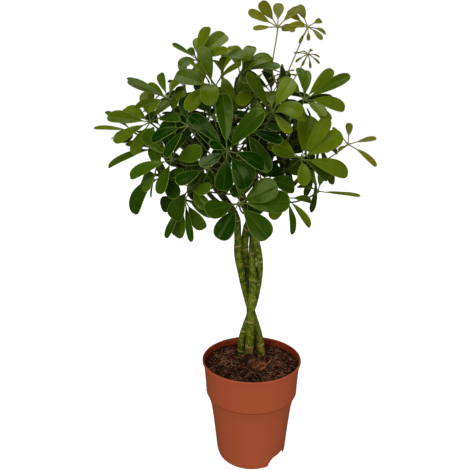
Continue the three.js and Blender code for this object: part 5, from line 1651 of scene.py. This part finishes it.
def leaflet_form(leaf, leaflet, draw):
    """One leaflet with its stalk, as loops round it. Stalk loops are circles. Over the first tenth of
    the blade they flatten into a thin lens, whose midrib is a groove above and stands out below."""
    around, above, turn = leaflet_loop()
    share = (1 - (1 - np.linspace(FIRST_ROW, 1, BLADE_ROWS)) ** ROWS_TO_TIP)[:-1, None]
    point, side, up = leaflet_line(leaf, leaflet, share[:, 0])
    half = leaflet["width"] / 2 * FULLNESS * outline_half(share)
    lift = blade_lift(leaf, leaflet, draw, share, half)
    x = around * half
    rib = STALK_RADIUS * np.clip(1 - share, RIB_SHARE, 1)
    ridge = rib * np.exp(-((x / (RIB_WIDTH * rib)) ** 2)) * (above < 0)
    groove = GROOVE_DEPTH * np.exp(-((x / GROOVE_WIDTH) ** 2)) * (above > 0)
    skin = BLADE / 2 * above - ridge - groove
    flat = smoothstep(0, FLAT_FROM, share)
    wide = (1 - flat) * rib * np.cos(turn) + flat * x
    tall = (1 - flat) * rib * np.sin(turn) + flat * skin + lift * smoothstep(0, LIFT_FROM, share)
    blade = point[:, None] + side[:, None] * wide[..., None] + up[:, None] * tall[..., None]
    rows = np.concatenate([stalk_rows(leaf, point[0], side[0], up[0], turn), blade])
    marks = plain_marks(rows, leaf)
    marks["blade"][STALK_ROWS:] = blade_marks(share, half, leaflet["length"])
    marks["tint"] += own_tint(leaf, draw)
    finish = np.where(above + np.roll(above, -1) > 0, TOP, UNDER)
    finishes = np.tile(finish, (len(rows) - 1, 1))
    finishes[:STALK_ROWS] = STALKS
    form = loft(rows, finishes, marks)
    tip = leaflet_line(leaf, leaflet, [1])[0][0]
    form["points"][-1] = tip + up[-1] * tall[-1].mean()
    return form


def stalk_rows(leaf, end, side, up, turn):
    """Circles from inside the hub to the blade's base."""
    start = leaf["hub"] + unit(end - leaf["hub"]) * leaf["hub_radius"] * STALK_START
    share = np.linspace(0, 1, STALK_ROWS + 1)[:-1, None, None]
    radius = STALK_RADIUS * (1 + STALK_FOOT[0] * np.exp(-share * STALK_FOOT[1]))
    circle = side * np.cos(turn)[:, None] + up * np.sin(turn)[:, None]
    return start + (end - start) * share + radius * circle


def hub_form(leaf):
    """The swollen hub: a flattened ball."""
    around = even_turns(HUB_COLUMNS)[None, :, None]
    rise = np.linspace(-HUB_ROUNDNESS, HUB_ROUNDNESS, HUB_ROWS)[:, None, None]
    flat = leaf["across"] * np.cos(around) + leaf["along"] * np.sin(around)
    wide = leaf["hub_radius"] * HUB_WIDTH * np.cos(rise)
    rows = leaf["hub"] + wide * flat + HUB_HALF_HEIGHT * np.sin(rise) * leaf["up"]
    return loft(rows, STALKS, plain_marks(rows, leaf))


def petiole_form(leaf):
    """A slender bar along the petiole's curve, with a swollen foot set a little into the stem's skin
    and a slight flare under the hub."""
    share = np.linspace(0, 1, PETIOLE_ROWS) ** PETIOLE_ROW_POWER
    path = bezier(leaf["petiole"], share)
    path[0] -= unit(path[1] - path[0]) * (SEAT_GAP + PETIOLE_SINK)
    foot, flare = PETIOLE_FOOT, PETIOLE_FLARE
    swell = 1 + foot[0] * np.exp(-share / foot[1]) + flare[0] * np.exp(-(1 - share) / flare[1])
    rows = tube(path, (PETIOLE_RADII[leaf["kind"]] * swell)[:, None], PETIOLE_COLUMNS)
    return loft(rows, STALKS, plain_marks(rows, leaf))


def plain_marks(rows, leaf):
    """The marks of stalks, petioles and hubs, which have no veins, edge or tint of their own."""
    zeros = np.zeros((*rows.shape[:2], 1))
    # The mark inner carries the leaf's painted shade
    return {"blade": np.full(rows.shape, CLEAR), "tint": zeros, "inner": zeros + leaf["inner"]}


def leaf_materials():
    """The upper side, the underside and the stalks of each kind of leaf."""
    green = stalk_surface("green_stalk", paint("stalk"), paint("stalk_patch"))
    young = stalk_surface("young_stalk", paint("young_stalk"), paint("young_patch"))
    surfaces = {name: leaf_surface(name, *look) for name, look in LEAF_SURFACES.items()}
    finishes = {}
    for kind, stalk in (("dark", green), ("light", green), ("young", young)):
        finishes[kind] = [surfaces[f"{kind}_leaf_top"], surfaces[f"{kind}_leaf_under"], stalk]
    return finishes


def make_leaves():
    """Each leaf as one piece: its petiole, its hub and its leaflets."""
    finishes = leaf_materials()
    for i, leaf in enumerate(crown()):
        draw = np.random.default_rng([SEED, i])
        slot = "young_leaf" if leaf["kind"] == "young" else "leaf"
        node_name = f"{slot}_{i + 1:02d}"
        forms = [petiole_form(leaf), hub_form(leaf)]
        forms += [leaflet_form(leaf, leaflet, draw) for leaflet in leaf["leaflets"]]
        piece_name = node_name.replace("leaf", "blades")
        add_piece(piece_name, joined(forms), finishes[leaf["kind"]], [node_name])


# Floor, light and camera


def make_floor():
    """A wide square of paper under the pot."""
    corners = [(-1, -1), (1, -1), (1, 1), (-1, 1)]
    mesh = bpy.data.meshes.new("floor")
    mesh.from_pydata([(x * FLOOR_REACH, y * FLOOR_REACH, 0) for x, y in corners], [], [(0, 1, 2, 3)])
    mesh.materials.append(paper_surface())
    floor = new_object("floor", mesh)
    floor.visible_diffuse = False
    floor.visible_glossy = False


def add_lamp(name, where, target, size, power):
    """A square soft box that shines from its place to a target."""
    lamp = bpy.data.lights.new(name, "AREA")
    lamp.size = size
    lamp.energy = power
    holder = new_object(name, lamp)
    holder.location = where
    holder.rotation_euler = (Vector(target) - Vector(where)).to_track_quat("-Z", "Y").to_euler()


def make_light():
    """White all round, weaker as light than as the background that shows, and weaker again in
    reflections, as if dark flats stood round the set. Three soft boxes light the front and the top."""
    world = bpy.data.worlds.new("white_studio")
    bpy.context.scene.world = world
    world.use_nodes = True
    tree = world.node_tree
    path = node(tree, "ShaderNodeLightPath").outputs
    inputs = {"Value": path["Is Glossy Ray"], "To Min": ROOM_LIGHT, "To Max": ROOM_GLOSS}
    unseen = node(tree, "ShaderNodeMapRange", inputs).outputs["Result"]
    strength = math_node(tree, "MAXIMUM", path["Is Camera Ray"], unseen)
    background = tree.nodes["Background"]
    background.inputs["Color"].default_value = (1, 1, 1, 1)
    tree.links.new(strength, background.inputs["Strength"])
    for name, lamp in LAMPS.items():
        add_lamp(name, *lamp)


def make_camera():
    """The camera at the photograph's viewing angle."""
    data = bpy.data.cameras.new("camera")
    data.lens = LENS
    data.sensor_width = SENSOR
    camera = new_object("camera", data)
    camera.location = CAMERA_PLACE
    camera.rotation_euler = (math.radians(90 - CAMERA_DROP), 0, 0)
    bpy.context.scene.camera = camera


make_camera()
make_light()
make_floor()
make_pot()
make_soil()
make_stems()
make_leaves()
bpy.context.scene.view_settings.view_transform = "Standard"
